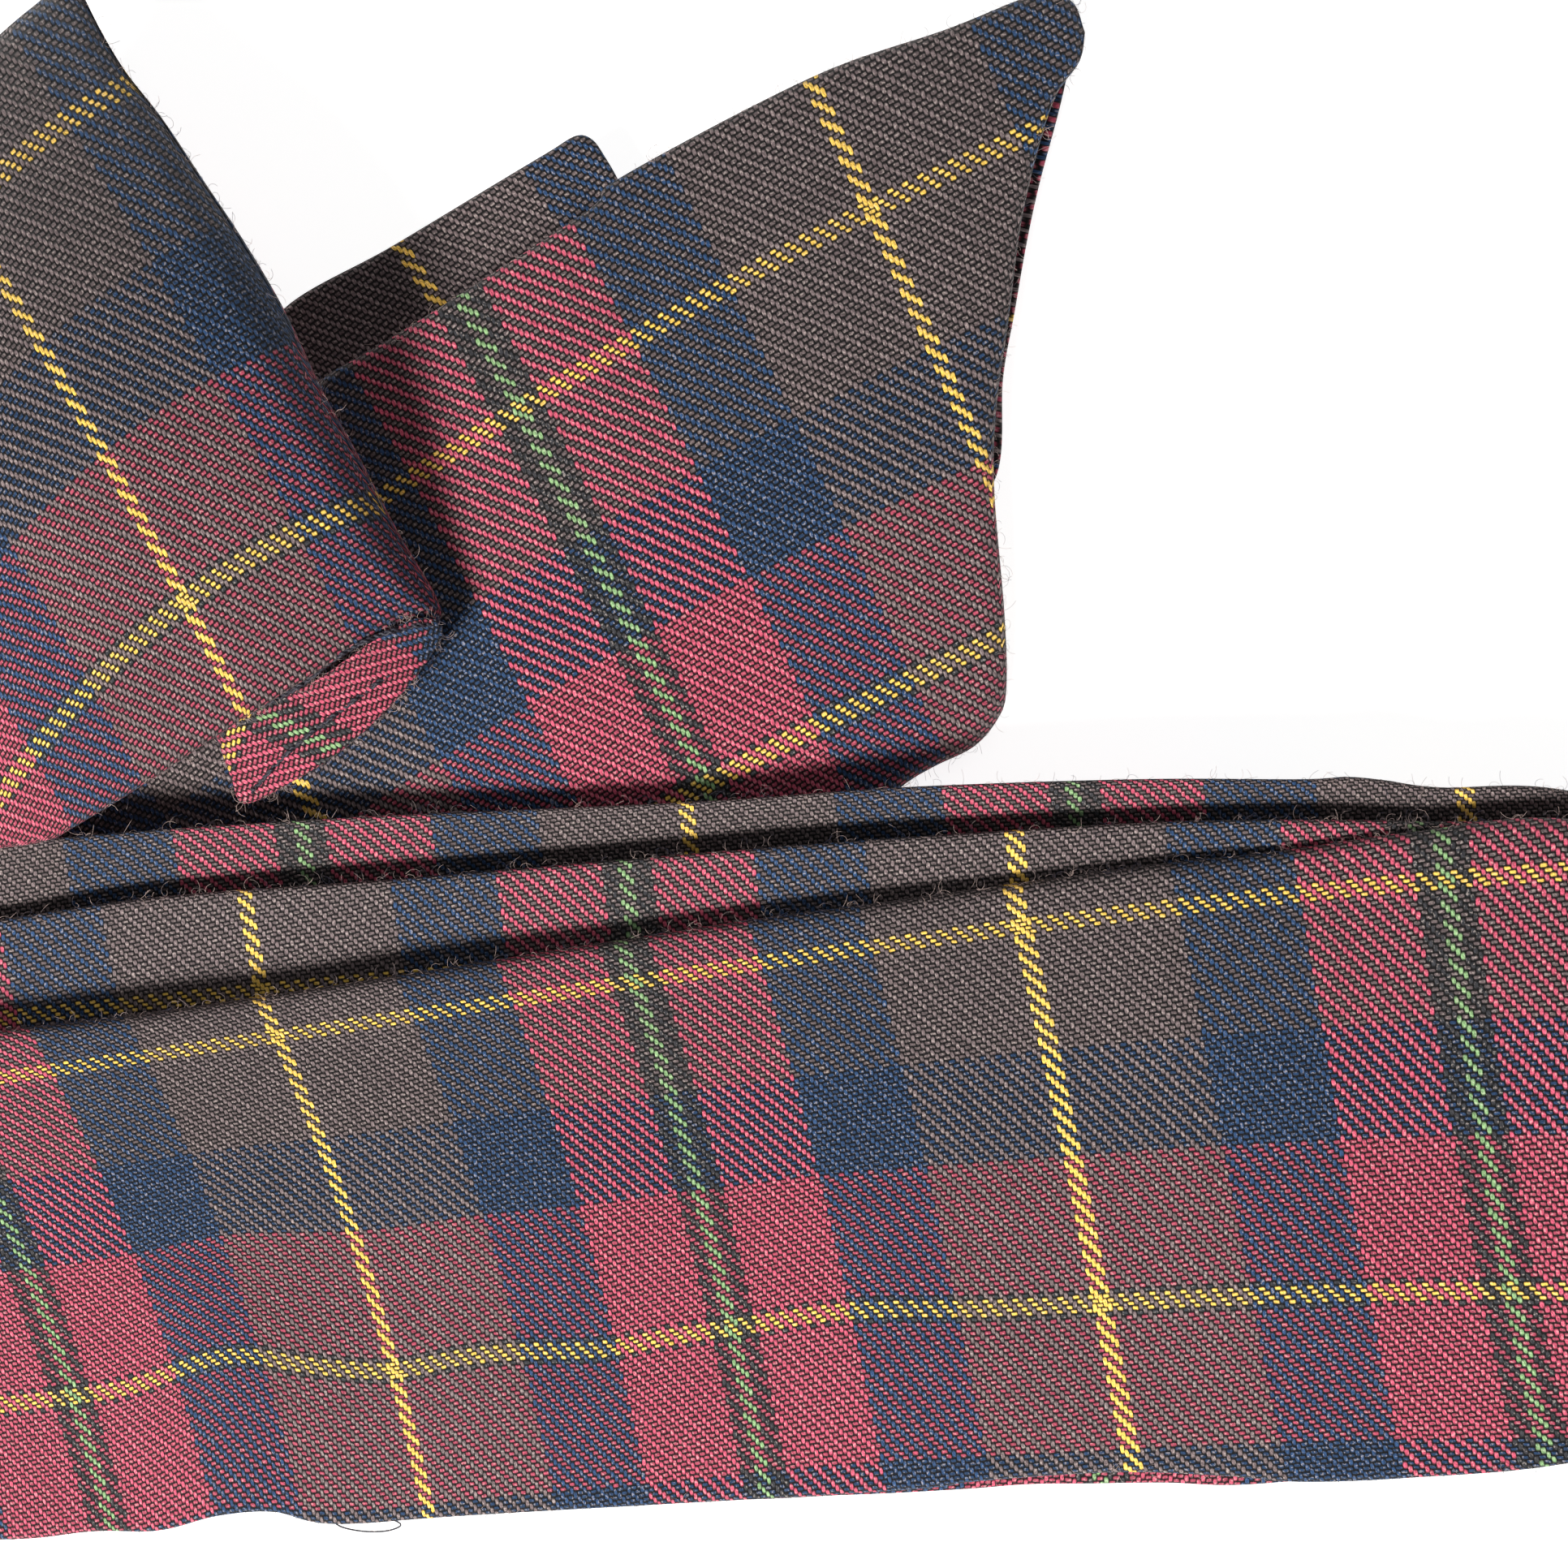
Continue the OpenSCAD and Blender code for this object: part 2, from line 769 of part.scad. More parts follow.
module chanter() {
  color(wood_colour)
    along(chanter_at)
      difference() {
        turned(concat([[tenon_r, -tenon_l], [tenon_r, 0], [13.2, 0], [13.8, 2]],
                      bead(13, 8, 2.4),
                      combing(14, 13, 12, 28, 7, 0.7),
                      bead(12.4, 31, 1.8),
                      [[12, 34], [9.4, 62], [9.2, 90], [10.4, 180], [12.4, 260],
                       [13.4, 296]],
                      bead(13.4, 299, 1.6),
                      [[13.4, chanter_l - sole_l], [12.6, chanter_l - sole_l],
                       [12.6, chanter_l]]),
               [[3.4, -tenon_l], [3.4, -10], [2.2, -8], [2.2, 4], [6.4, 180],
                [10.6, chanter_l - 16], [10.6, chanter_l]]);
        for (hole = finger_holes)
          translate([0, 0, hole[0]])
            rotate([0, 0, chanter_turn + hole[2]])
              rotate([0, 90, 0])
                cylinder(r = hole[1], h = 20);
      }
}

module chanter_hemp() {
  color(hemp_colour)
    along(chanter_at)
      tenon_hemp();
}

module chanter_sole() {
  from = chanter_l - sole_l;
  color(ivory_colour)
    along(chanter_at)
      turned([[14, from], [15, from + 2], [20, from + 4], [sole_r, from + 6.5],
              [sole_r, from + 9], [sole_r - 3, from + 11], [14, chanter_l]],
             [[12.6, from], [12.6, chanter_l]]);
}

blade_l = 24;
blade_w = 11;
blade_t = 1.2;
blade_root_x = 3.1;
blade_root_w = 6;

module chanter_reed_staple() {
  color("goldenrod")
    along(chanter_at)
      turned([[2.5, -tenon_l - 18], [3.4, -tenon_l + 2], [3.4, -11]],
             [[1.8, -tenon_l - 18], [2.2, -11]]);
}

// Two cane blades that are bound on the staple and meet in a wide thin lip
module chanter_reed_blades() {
  root = -tenon_l - 17;
  color(cane_colour)
    along(chanter_at)
      for (side = [0, 180])
        rotate([0, 0, side]) {
          translate([blade_root_x, -blade_root_w / 2, root])
            cube([blade_t, blade_root_w, 10]);
          hull() {
            translate([blade_root_x, -blade_root_w / 2, root])
              cube([blade_t, blade_root_w, 0.5]);
            translate([0.1, -blade_w / 2, root - blade_l])
              cube([0.8, blade_w, 1]);
          }
        }
}

// Outlines of the ribbon's folded pieces, measured from the ribbon's middle
band_outline = [[-128, -12], [-96, -8], [-45, -3], [15, -0.8], [60, 0.4], [97, -1],
                [125, -24], [143, -35], [143, -60], [125, -70], [97, -84], [45, -84],
                [-20, -88], [-96, -93], [-128, -92]];
wing_outline = [[-41, -2.4], [14, -0.3], [19, 4], [26, 9], [27, 20], [26, 38], [28, 56],
                [30, 70], [33, 83], [37, 92], [33, 96], [3, 88], [-20, 76], [-24, 79],
                [-48, 66], [-61, 58], [-56, 49], [-49, 34], [-45, 15]];
tail_outline = [[-128, 55], [-112, 84], [-96, 97], [-83, 97], [-77, 85], [-66, 65],
                [-61.5, 57.4], [-56.6, 48.6], [-49.6, 33.8], [-45.8, 14.8], [-42, -2],
                [-70, -4.7], [-96, -7.4], [-128, -11.4]];

module folded(outline, middle, from, height, taper) {
  color(tartan_colour)
    translate([ribbon_x + middle[0], ribbon_y + middle[1], from])
      linear_extrude(height = height, scale = taper)
        translate(-middle)
          polygon(outline);
}

// The band, which rises from the floor to its knot
module ribbon_run() {
  start_x = band_outline[0][0];
  band_l = 271;
  color(tartan_colour)
    translate([ribbon_x, ribbon_y, 0])
      intersection() {
        linear_extrude(height = band_end_h)
          polygon(band_outline);
        translate([start_x, 0, 0])
          rotate([90, 0, 0])
            linear_extrude(height = 2 * band_l, center = true)
              polygon([[0, 0], [band_l, 0], [band_l, band_end_h], [0, band_start_h]]);
      }
}

module ribbon_fold() {
  folded(wing_outline, [-5, 40], 0, wing_h, 0.72);
}

module ribbon_tail() {
  folded(tail_outline, [-85, 35], 0, tail_h, 0.72);
}

// The ribbon's turn round the bass drone, with its knot lying towards the band
module ribbon_knot() {
  from = 88;
  to = 124;
  turn_r = 14.6;
  knot_r = 17;
  color(tartan_colour)
    along(bass_at)
      difference() {
        union() {
          ring(turn_r + 4, turn_r, from, to);
          translate([0, turn_r + 14, (from + to) / 2])
            sphere(r = knot_r);
        }
        translate([0, 0, from - 1])
          cylinder(r = turn_r, h = to - from + 2);
      }
}

bag_cover();
air_bag();
zip_tape();
zip_slider();
zip_pull();
chanter_stock();
blowpipe_stock();
bass_stock();
middle_tenor_stock();
outer_tenor_stock();
stock_ferrules();
stock_bindings();
bass_bottom_joint();
bass_bottom_mount();
bass_bottom_hemp();
bass_reed();
bass_reed_tongue();
bass_reed_bridle();
bass_middle_joint();
bass_middle_ferrule();
bass_middle_mount();
bass_middle_hemp();
bass_top_joint();
bass_top_ferrule();
bass_top_cap();
middle_tenor_bottom_joint();
middle_tenor_mount();
middle_tenor_hemp();
middle_tenor_reed();
middle_tenor_reed_tongue();
middle_tenor_reed_bridle();
middle_tenor_top_joint();
middle_tenor_ferrule();
middle_tenor_cap();
outer_tenor_bottom_joint();
outer_tenor_mount();
outer_tenor_hemp();
outer_tenor_reed();
outer_tenor_reed_tongue();
outer_tenor_reed_bridle();
outer_tenor_top_joint();
outer_tenor_ferrule();
outer_tenor_cap();
blowpipe();
blowpipe_mount();
blowpipe_hemp();
mouthpiece();
valve_seat();
valve_flap();
chanter();
chanter_hemp();
chanter_sole();
chanter_reed_staple();
chanter_reed_blades();
ribbon_run();
ribbon_fold();
ribbon_tail();
ribbon_knot();
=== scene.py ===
"""The looks of a set of Highland bagpipes that lies flat, seen close up at its tartan ribbon.

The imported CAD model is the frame. Hard pieces and the leather bag keep their CAD shapes and
get materials here. The ribbon and the bag's cover are replaced by cloth forms.
"""
import json
import math

import bmesh
import bpy
import numpy as np
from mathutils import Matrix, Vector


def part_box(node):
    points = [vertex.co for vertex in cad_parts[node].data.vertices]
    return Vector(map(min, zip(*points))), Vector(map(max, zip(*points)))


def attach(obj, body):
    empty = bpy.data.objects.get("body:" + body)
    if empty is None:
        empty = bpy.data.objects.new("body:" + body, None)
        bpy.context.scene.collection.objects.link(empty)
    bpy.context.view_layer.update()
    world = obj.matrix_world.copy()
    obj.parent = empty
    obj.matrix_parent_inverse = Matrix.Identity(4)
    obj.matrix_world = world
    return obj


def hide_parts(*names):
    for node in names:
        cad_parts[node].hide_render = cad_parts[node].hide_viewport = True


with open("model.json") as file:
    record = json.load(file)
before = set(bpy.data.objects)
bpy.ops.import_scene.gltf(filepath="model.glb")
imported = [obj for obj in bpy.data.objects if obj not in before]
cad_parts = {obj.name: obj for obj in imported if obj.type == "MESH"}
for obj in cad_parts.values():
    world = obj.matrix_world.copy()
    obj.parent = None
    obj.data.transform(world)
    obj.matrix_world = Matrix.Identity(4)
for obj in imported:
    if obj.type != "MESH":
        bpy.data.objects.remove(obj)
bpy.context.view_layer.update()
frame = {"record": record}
MM = 0.001

# ---------------------------------------------------------------- view and light
# The view is straight down on the folded ribbon. All of these are in millimetres. VIEW_WIDE
# is how much the view takes in at BAND_LEVEL, the height of the band's face above the floor.
# MIDDLE is the middle of the view, measured from the near left corner of the ribbon's run.
EYE_LEVEL = 210.0
BAND_LEVEL = 12.0
VIEW_WIDE = 193.2
MIDDLE = np.array(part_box("ribbon_run")[0][:2]) / MM + (128.0, 93.0)
# Where the main light comes from, in degrees, and the lamps' tints.
KEY_AZIMUTH, KEY_HEIGHT = 236, 50
WARM, COOL = (1.0, 0.985, 0.96), (0.94, 0.97, 1.0)


def make_camera():
    data = bpy.data.cameras.new("camera")
    data.sensor_width = 36.0
    data.lens = data.sensor_width * (EYE_LEVEL - BAND_LEVEL) / VIEW_WIDE
    data.clip_start = 0.01
    camera = bpy.data.objects.new("camera", data)
    camera.location = (MIDDLE[0] * MM, MIDDLE[1] * MM, EYE_LEVEL * MM)
    bpy.context.scene.collection.objects.link(camera)
    bpy.context.scene.camera = camera


def make_sun(name, azimuth, height, strength, spread, colour):
    """A distant lamp. azimuth is measured from +X towards +Y, both angles in degrees."""
    data = bpy.data.lights.new(name, "SUN")
    data.energy = strength
    data.angle = math.radians(spread)
    data.color = colour
    lamp = bpy.data.objects.new(name, data)
    lamp.rotation_euler = (0, math.radians(90 - height), math.radians(azimuth))
    bpy.context.scene.collection.objects.link(lamp)


def make_softbox(name, azimuth, height, distance, size, power, colour):
    """A square lamp that faces the middle of the view from distance metres."""
    data = bpy.data.lights.new(name, "AREA")
    data.energy = power
    data.size = size
    data.color = colour
    lamp = bpy.data.objects.new(name, data)
    tilt, turn = math.radians(90 - height), math.radians(azimuth)
    level = distance * math.sin(tilt)
    lamp.location = (MIDDLE[0] * MM + level * math.cos(turn),
                     MIDDLE[1] * MM + level * math.sin(turn), distance * math.cos(tilt))
    lamp.rotation_euler = (0, tilt, turn)
    bpy.context.scene.collection.objects.link(lamp)


def make_lights():
    make_sun("key", KEY_AZIMUTH, KEY_HEIGHT, strength=1.4, spread=16, colour=WARM)
    make_softbox("softbox", KEY_AZIMUTH, KEY_HEIGHT, distance=1.0, size=0.26, power=11.5,
                 colour=WARM)
    make_sun("fill", 60, 65, strength=0.35, spread=50, colour=COOL)
    world = bpy.data.worlds.new("studio")
    world.use_nodes = True
    around = world.node_tree.nodes["Background"].inputs
    around["Color"].default_value = (1, 1, 1, 1)
    around["Strength"].default_value = 0.18
    bpy.context.scene.world = world
    bpy.context.scene.view_settings.view_transform = "Standard"


# ---------------------------------------------------------------- shader building
class Graph:
    """Short ways to add nodes to one material."""

    def __init__(self, name):
        self.material = bpy.data.materials.new(name)
        self.material.use_nodes = True
        self.tree = self.material.node_tree
        self.shader = self.tree.nodes["Principled BSDF"]

    def put(self, value, socket):
        if isinstance(value, bpy.types.NodeSocket):
            self.tree.links.new(value, socket)
        else:
            socket.default_value = value

    def node(self, kind, **settings):
        node = self.tree.nodes.new(kind)
        for key, value in settings.items():
            setattr(node, key, value)
        return node

    def math(self, operation, a, b=0.0):
        node = self.node("ShaderNodeMath", operation=operation)
        for socket, value in zip(node.inputs, (a, b)):
            self.put(value, socket)
        return node.outputs[0]

    def add(self, a, b):
        return self.math("ADD", a, b)

    def sub(self, a, b):
        return self.math("SUBTRACT", a, b)

    def mul(self, a, b):
        return self.math("MULTIPLY", a, b)

    def power(self, a, b):
        return self.math("POWER", a, b)

    def between(self, a, low, high, to_low=0.0, to_high=1.0):
        """Maps a from low..high to to_low..to_high, and keeps it there."""
        node = self.node("ShaderNodeMapRange")
        for socket, value in zip(node.inputs, (a, low, high, to_low, to_high)):
            self.put(value, socket)
        return node.outputs[0]

    def blend(self, share, a, b, how="MIX"):
        """A colour between a, at a share of 0, and b, at 1."""
        node = self.node("ShaderNodeMix", data_type="RGBA", blend_type=how)
        self.put(share, node.inputs[0])
        self.put(a, node.inputs[6])
        self.put(b, node.inputs[7])
        return node.outputs[2]

    def pick(self, share, a, b):
        """A number between a, at a share of 0, and b, at 1."""
        node = self.node("ShaderNodeMix", data_type="FLOAT")
        self.put(share, node.inputs[0])
        self.put(a, node.inputs[2])
        self.put(b, node.inputs[3])
        return node.outputs[0]

    def split(self, vector):
        node = self.node("ShaderNodeSeparateXYZ")
        self.put(vector, node.inputs[0])
        return node.outputs

    def vector(self, x, y, z=0.0):
        node = self.node("ShaderNodeCombineXYZ")
        for socket, value in zip(node.inputs, (x, y, z)):
            self.put(value, socket)
        return node.outputs[0]

    def noise(self, where, scale, detail=2.0, rough=0.5, stretch=None):
        if stretch is not None:
            node = self.node("ShaderNodeMapping")
            self.put(where, node.inputs["Vector"])
            node.inputs["Scale"].default_value = stretch
            where = node.outputs[0]
        node = self.node("ShaderNodeTexNoise")
        self.put(where, node.inputs["Vector"])
        node.inputs["Scale"].default_value = scale
        node.inputs["Detail"].default_value = detail
        node.inputs["Roughness"].default_value = rough
        return node.outputs[0]

    def chance(self, where):
        """A fixed random number from 0 to 1 for each value of where."""
        node = self.node("ShaderNodeTexWhiteNoise", noise_dimensions="2D")
        self.put(where, node.inputs["Vector"])
        return node.outputs["Value"]

    def bump(self, height, depth, strength=1.0):
        node = self.node("ShaderNodeBump")
        self.put(height, node.inputs["Height"])
        node.inputs["Distance"].default_value = depth
        node.inputs["Strength"].default_value = strength
        return node.outputs[0]

    def finish(self, colour, roughness, normal=None, **fixed):
        """The finished material. fixed holds the shader's other inputs by name."""
        self.put(colour, self.shader.inputs["Base Color"])
        self.put(roughness, self.shader.inputs["Roughness"])
        if normal is not None:
            self.put(normal, self.shader.inputs["Normal"])
        for key, value in fixed.items():
            self.shader.inputs[key.replace("_", " ")].default_value = value
        return self.material


def rgb(red, green, blue):
    """A colour as a shader takes it, from the 0 to 255 that a screen shows."""
    def linear(c):
        c /= 255
        return c / 12.92 if c <= 0.04045 else ((c + 0.055) / 1.055) ** 2.4
    return (linear(red), linear(green), linear(blue), 1.0)


def shade_as_weft(colour):
    """A yarn's colour in the weft, darkened by painted shade."""
    return (*(WEFT_PAINTED_SHADE * c for c in colour[:3]), 1.0)


# ---------------------------------------------------------------- tartan cloth
# Yarns of the cloth, and half of the sett: how many threads of each lie side by side, from
# the middle of a yellow line to the place where the sett turns back.
RED = rgb(212, 90, 116)
NAVY = rgb(46, 75, 114)
BROWN = rgb(123, 108, 109)
YELLOW = rgb(255, 208, 96)
SAGE = rgb(138, 176, 122)
DARK = rgb(58, 58, 62)
# Painted shade: the weft lies lower in the cloth, so its yarns are painted darker than the same
# yarns in the warp.
WEFT_PAINTED_SHADE = 0.68
WARP = [(YELLOW, 2), (BROWN, 33), (NAVY, 26), (RED, 25), (DARK, 4), (SAGE, 2)]
WEFT = [(YELLOW, 2), (shade_as_weft(BROWN), 27), (shade_as_weft(NAVY), 24), (shade_as_weft(RED), 30), (DARK, 1),
        (YELLOW, 2)]
# The sett counts in picks, and warp threads lie closer together than picks do. PICK is how
# many millimetres a pick takes on the cover. On the ribbon that follows from its crossings.
PICK = 0.53
ENDS_PER_PICK = 1.1
# A yarn's height: how far it swings over and under, how round it is, and how much higher
# the warp lies. The unit is about a yarn's thickness.
SWING = 0.62
FULLNESS = 0.42
WARP_LIFT = 0.05
# The yellow warp is a thicker yarn: it stands higher than the rest, and its place in the
# sett is white here.
YELLOW_LIFT = 0.22
THICK_WARP = [(rgb(255, 255, 255), 2), (rgb(0, 0, 0), 90)]
# How slim a yarn's section is (2 fills its place between the neighbours), and how flat it
# lies where it crosses over.
WARP_SLIM, WARP_FLAT = 1.8, 1.1
WEFT_SLIM, WEFT_FLAT = 2.6, 1.5
# How far the threads stray from straight, in threads, and how askew the fibres run in them.
STRAY = 0.7
ASKEW = 0.35
# How sharply painted shade darkens a yarn down its sides into the gaps between yarns, and the
# heights where that starts and ends.
SIDE_SHADE = 3.4
SIDE_LOW, SIDE_HIGH = 0.3, 0.98
# The colour of the painted highlights on the yarns' crests.
PAINTED_HIGHLIGHT = rgb(255, 238, 228)


def stripes(g, at, sett):
    """The colour of the thread that lies at a place in the sett, which goes to and fro."""
    total = sum(threads for _, threads in sett)
    at = g.math("PINGPONG", g.math("DIVIDE", at, total), 1.0)
    ramp = g.node("ShaderNodeValToRGB")
    ramp.color_ramp.interpolation = "CONSTANT"
    marks = ramp.color_ramp.elements
    start = 0
    for i, (colour, threads) in enumerate(sett):
        mark = marks[i] if i < 2 else marks.new(start / total)
        mark.position = start / total
        mark.color = colour
        start += threads
    g.put(at, ramp.inputs[0])
    return ramp.outputs[0]


def yarn_height(g, along, middle, across, slim, flat):
    """How high one yarn's surface is: it swings over and under, and its section is round."""
    swing = g.math("COSINE", g.mul(g.sub(along, middle), math.pi / 2))
    swing = g.math("MAXIMUM", g.math("MINIMUM", g.mul(swing, flat), 1.0), -1.0)
    side = g.mul(g.sub(across, 0.5), slim)
    section = g.math("SQRT", g.math("MAXIMUM", g.sub(1.0, g.mul(side, side)), 0.0))
    return g.add(g.mul(swing, SWING), g.mul(section, FULLNESS))


def tartan(name):
    """A two-over-two worsted twill. The piece's UV map counts warp and weft threads."""
    g = Graph(name)
    threads = g.node("ShaderNodeUVMap", uv_map="threads").outputs[0]
    place = g.split(threads)
    sway = g.mul(g.sub(g.noise(threads, 0.35), 0.5), STRAY)
    warp = g.add(g.mul(place[0], ENDS_PER_PICK), sway)
    weft = g.sub(sway, place[1])
    warp_no = g.math("FLOOR", warp)
    weft_no = g.math("FLOOR", weft)
    warp_across = g.math("FRACT", warp)
    weft_across = g.math("FRACT", weft)
    along_warp = g.math("FLOORED_MODULO", g.add(warp_no, weft), 4.0)
    along_weft = g.math("FLOORED_MODULO", g.add(weft_no, warp), 4.0)
    warp_height = yarn_height(g, along_warp, 1.0, warp_across, WARP_SLIM, WARP_FLAT)
    warp_place = g.math("DIVIDE", g.add(warp_no, 0.5), ENDS_PER_PICK)
    thick = stripes(g, warp_place, THICK_WARP)
    warp_height = g.add(warp_height, g.add(WARP_LIFT, g.mul(thick, YELLOW_LIFT)))
    weft_height = yarn_height(g, along_weft, 3.0, weft_across, WEFT_SLIM, WEFT_FLAT)
    warp_up = g.math("GREATER_THAN", warp_height, weft_height)
    height = g.math("MAXIMUM", warp_height, weft_height)
    # Fibres run along each yarn, a little askew from its twist.
    fibre_warp = g.noise(g.vector(g.add(warp, g.mul(weft, ASKEW)), weft), 1.0, 2.0, 0.7,
                         stretch=(2.6, 1.1, 1.0))
    fibre_weft = g.noise(g.vector(warp, g.add(weft, g.mul(warp, ASKEW))), 1.0, 2.0, 0.7,
                         stretch=(1.1, 2.6, 1.0))
    fibre = g.pick(warp_up, fibre_weft, fibre_warp)
    weft_colour = stripes(g, g.sub(-0.5, weft_no), WEFT)
    warp_colour = stripes(g, warp_place, WARP)
    yarn = g.blend(warp_up, weft_colour, warp_colour)
    # Each yarn is a little lighter or darker than its neighbours.
    own = g.chance(g.vector(g.pick(warp_up, weft_no, warp_no), warp_up))
    light = g.add(g.between(fibre, 0.32, 0.68, 0.45, 1.3), g.mul(g.sub(own, 0.5), 0.2))
    # Painted shade: each yarn's colour darkens down its sides into the gaps between yarns.
    crest = g.between(height, SIDE_LOW, SIDE_HIGH)
    shade = g.mul(g.power(crest, SIDE_SHADE), light)
    colour = g.blend(1.0, yarn, g.vector(shade, shade, shade), "MULTIPLY")
    # Painted highlight: pale glints on the yarns' crests, where the light catches them.
    glint = g.between(g.noise(threads, 1.3, 1.0, 0.8), 0.54, 0.66, 0.0, 0.5)
    pale = g.blend(0.45, yarn, PAINTED_HIGHLIGHT)
    colour = g.blend(g.mul(glint, g.power(crest, 4.0)), colour, pale)
    normal = g.bump(g.add(height, g.mul(fibre, 0.35)), 0.3 * PICK * MM)
    return g.finish(colour, 0.8, normal, Sheen_Weight=0.08, Sheen_Roughness=0.5,
                    Specular_IOR_Level=0.2)


# ---------------------------------------------------------------- folded cloth forms
def powers(x, y, degree):
    """The terms of a smooth surface over x and y, which are in millimetres."""
    x = np.asarray(x, float) / 100
    y = np.asarray(y, float) / 100
    terms = [x ** i * y ** j for i in range(degree + 1) for j in range(degree + 1 - i)]
    return np.stack(terms, axis=-1)


def through(spots, degree=2):
    """The smooth surface that best passes through spots, rows of x, y and values."""
    spots = np.array(spots, float)
    terms = powers(spots[:, 0], spots[:, 1], degree)
    fit = np.linalg.lstsq(terms, spots[:, 2:], rcond=1e-6)[0]
    return lambda x, y: powers(x, y, degree) @ fit


def spline(points, steps):
    """A smooth curve through all points but the first and the last, which only steer it."""
    fine = []
    for i in range(len(points) - 3):
        a, b, c, d = points[i:i + 4]
        for t in np.linspace(0, 1, steps, endpoint=False):
            fine.append(0.5 * (2 * b + (c - a) * t + (2 * a - 5 * b + 4 * c - d) * t * t
                               + (3 * b - a - 3 * c + d) * t ** 3))
    return np.array([*fine, points[-2]])


def curve(points, count):
    """count places along a smooth curve through points, closer together at its ends."""
    points = np.array(points, float)
    ends = 2 * points[0] - points[1], 2 * points[-1] - points[-2]
    fine = spline(np.array([ends[0], *points, ends[1]]), 12)
    step = np.linalg.norm(np.diff(fine[:, :2], axis=0), axis=1)
    along = np.concatenate([[0], np.cumsum(step)])
    share = (1 - np.cos(np.linspace(0, math.pi, count))) / 2
    at = (0.35 * share + 0.65 * np.linspace(0, 1, count)) * along[-1]
    return np.stack([np.interp(at, along, fine[:, k]) for k in range(fine.shape[1])], axis=1)


def seen_from_above(x, y, z):
    """The place at height z that the eye sees at (x, y) on the band's level."""
    nearer = (EYE_LEVEL - z) / (EYE_LEVEL - BAND_LEVEL)
    return np.stack([MIDDLE[0] + x * nearer, MIDDLE[1] + y * nearer, z], axis=-1) * MM


def make_mesh(name, points, faces, uv, material):
    """A mesh object whose UV map is called threads; uv has one row for each point."""
    mesh = bpy.data.meshes.new(name)
    mesh.from_pydata([tuple(p) for p in points], [], faces)
    layer = mesh.uv_layers.new(name="threads")
    corners = np.zeros(len(mesh.loops), int)
    mesh.loops.foreach_get("vertex_index", corners)
    layer.data.foreach_set("uv", np.asarray(uv, float)[corners].ravel())
    mesh.polygons.foreach_set("use_smooth", [True] * len(mesh.polygons))
    mesh.materials.append(material)
    piece = bpy.data.objects.new(name, mesh)
    bpy.context.scene.collection.objects.link(piece)
    return piece


def drift_at(x, y, drifts, kind):
    """How far local waves move the weft threads (kind 0) or raise the cloth (kind 1)."""
    total = np.zeros_like(x)
    for middle_x, middle_y, reach_x, reach_y, *amounts in drifts:
        near = ((x - middle_x) / reach_x) ** 2 + ((y - middle_y) / reach_y) ** 2
        total += amounts[kind] * np.exp(-near)
    return total


# How uneven the ribbon lies, how far cloth stays above the floor, and how thin a fold gets
# inside its rim, in millimetres.
WAVES = 0.35
FLOOR_GAP = 0.2
THINNEST = 0.4


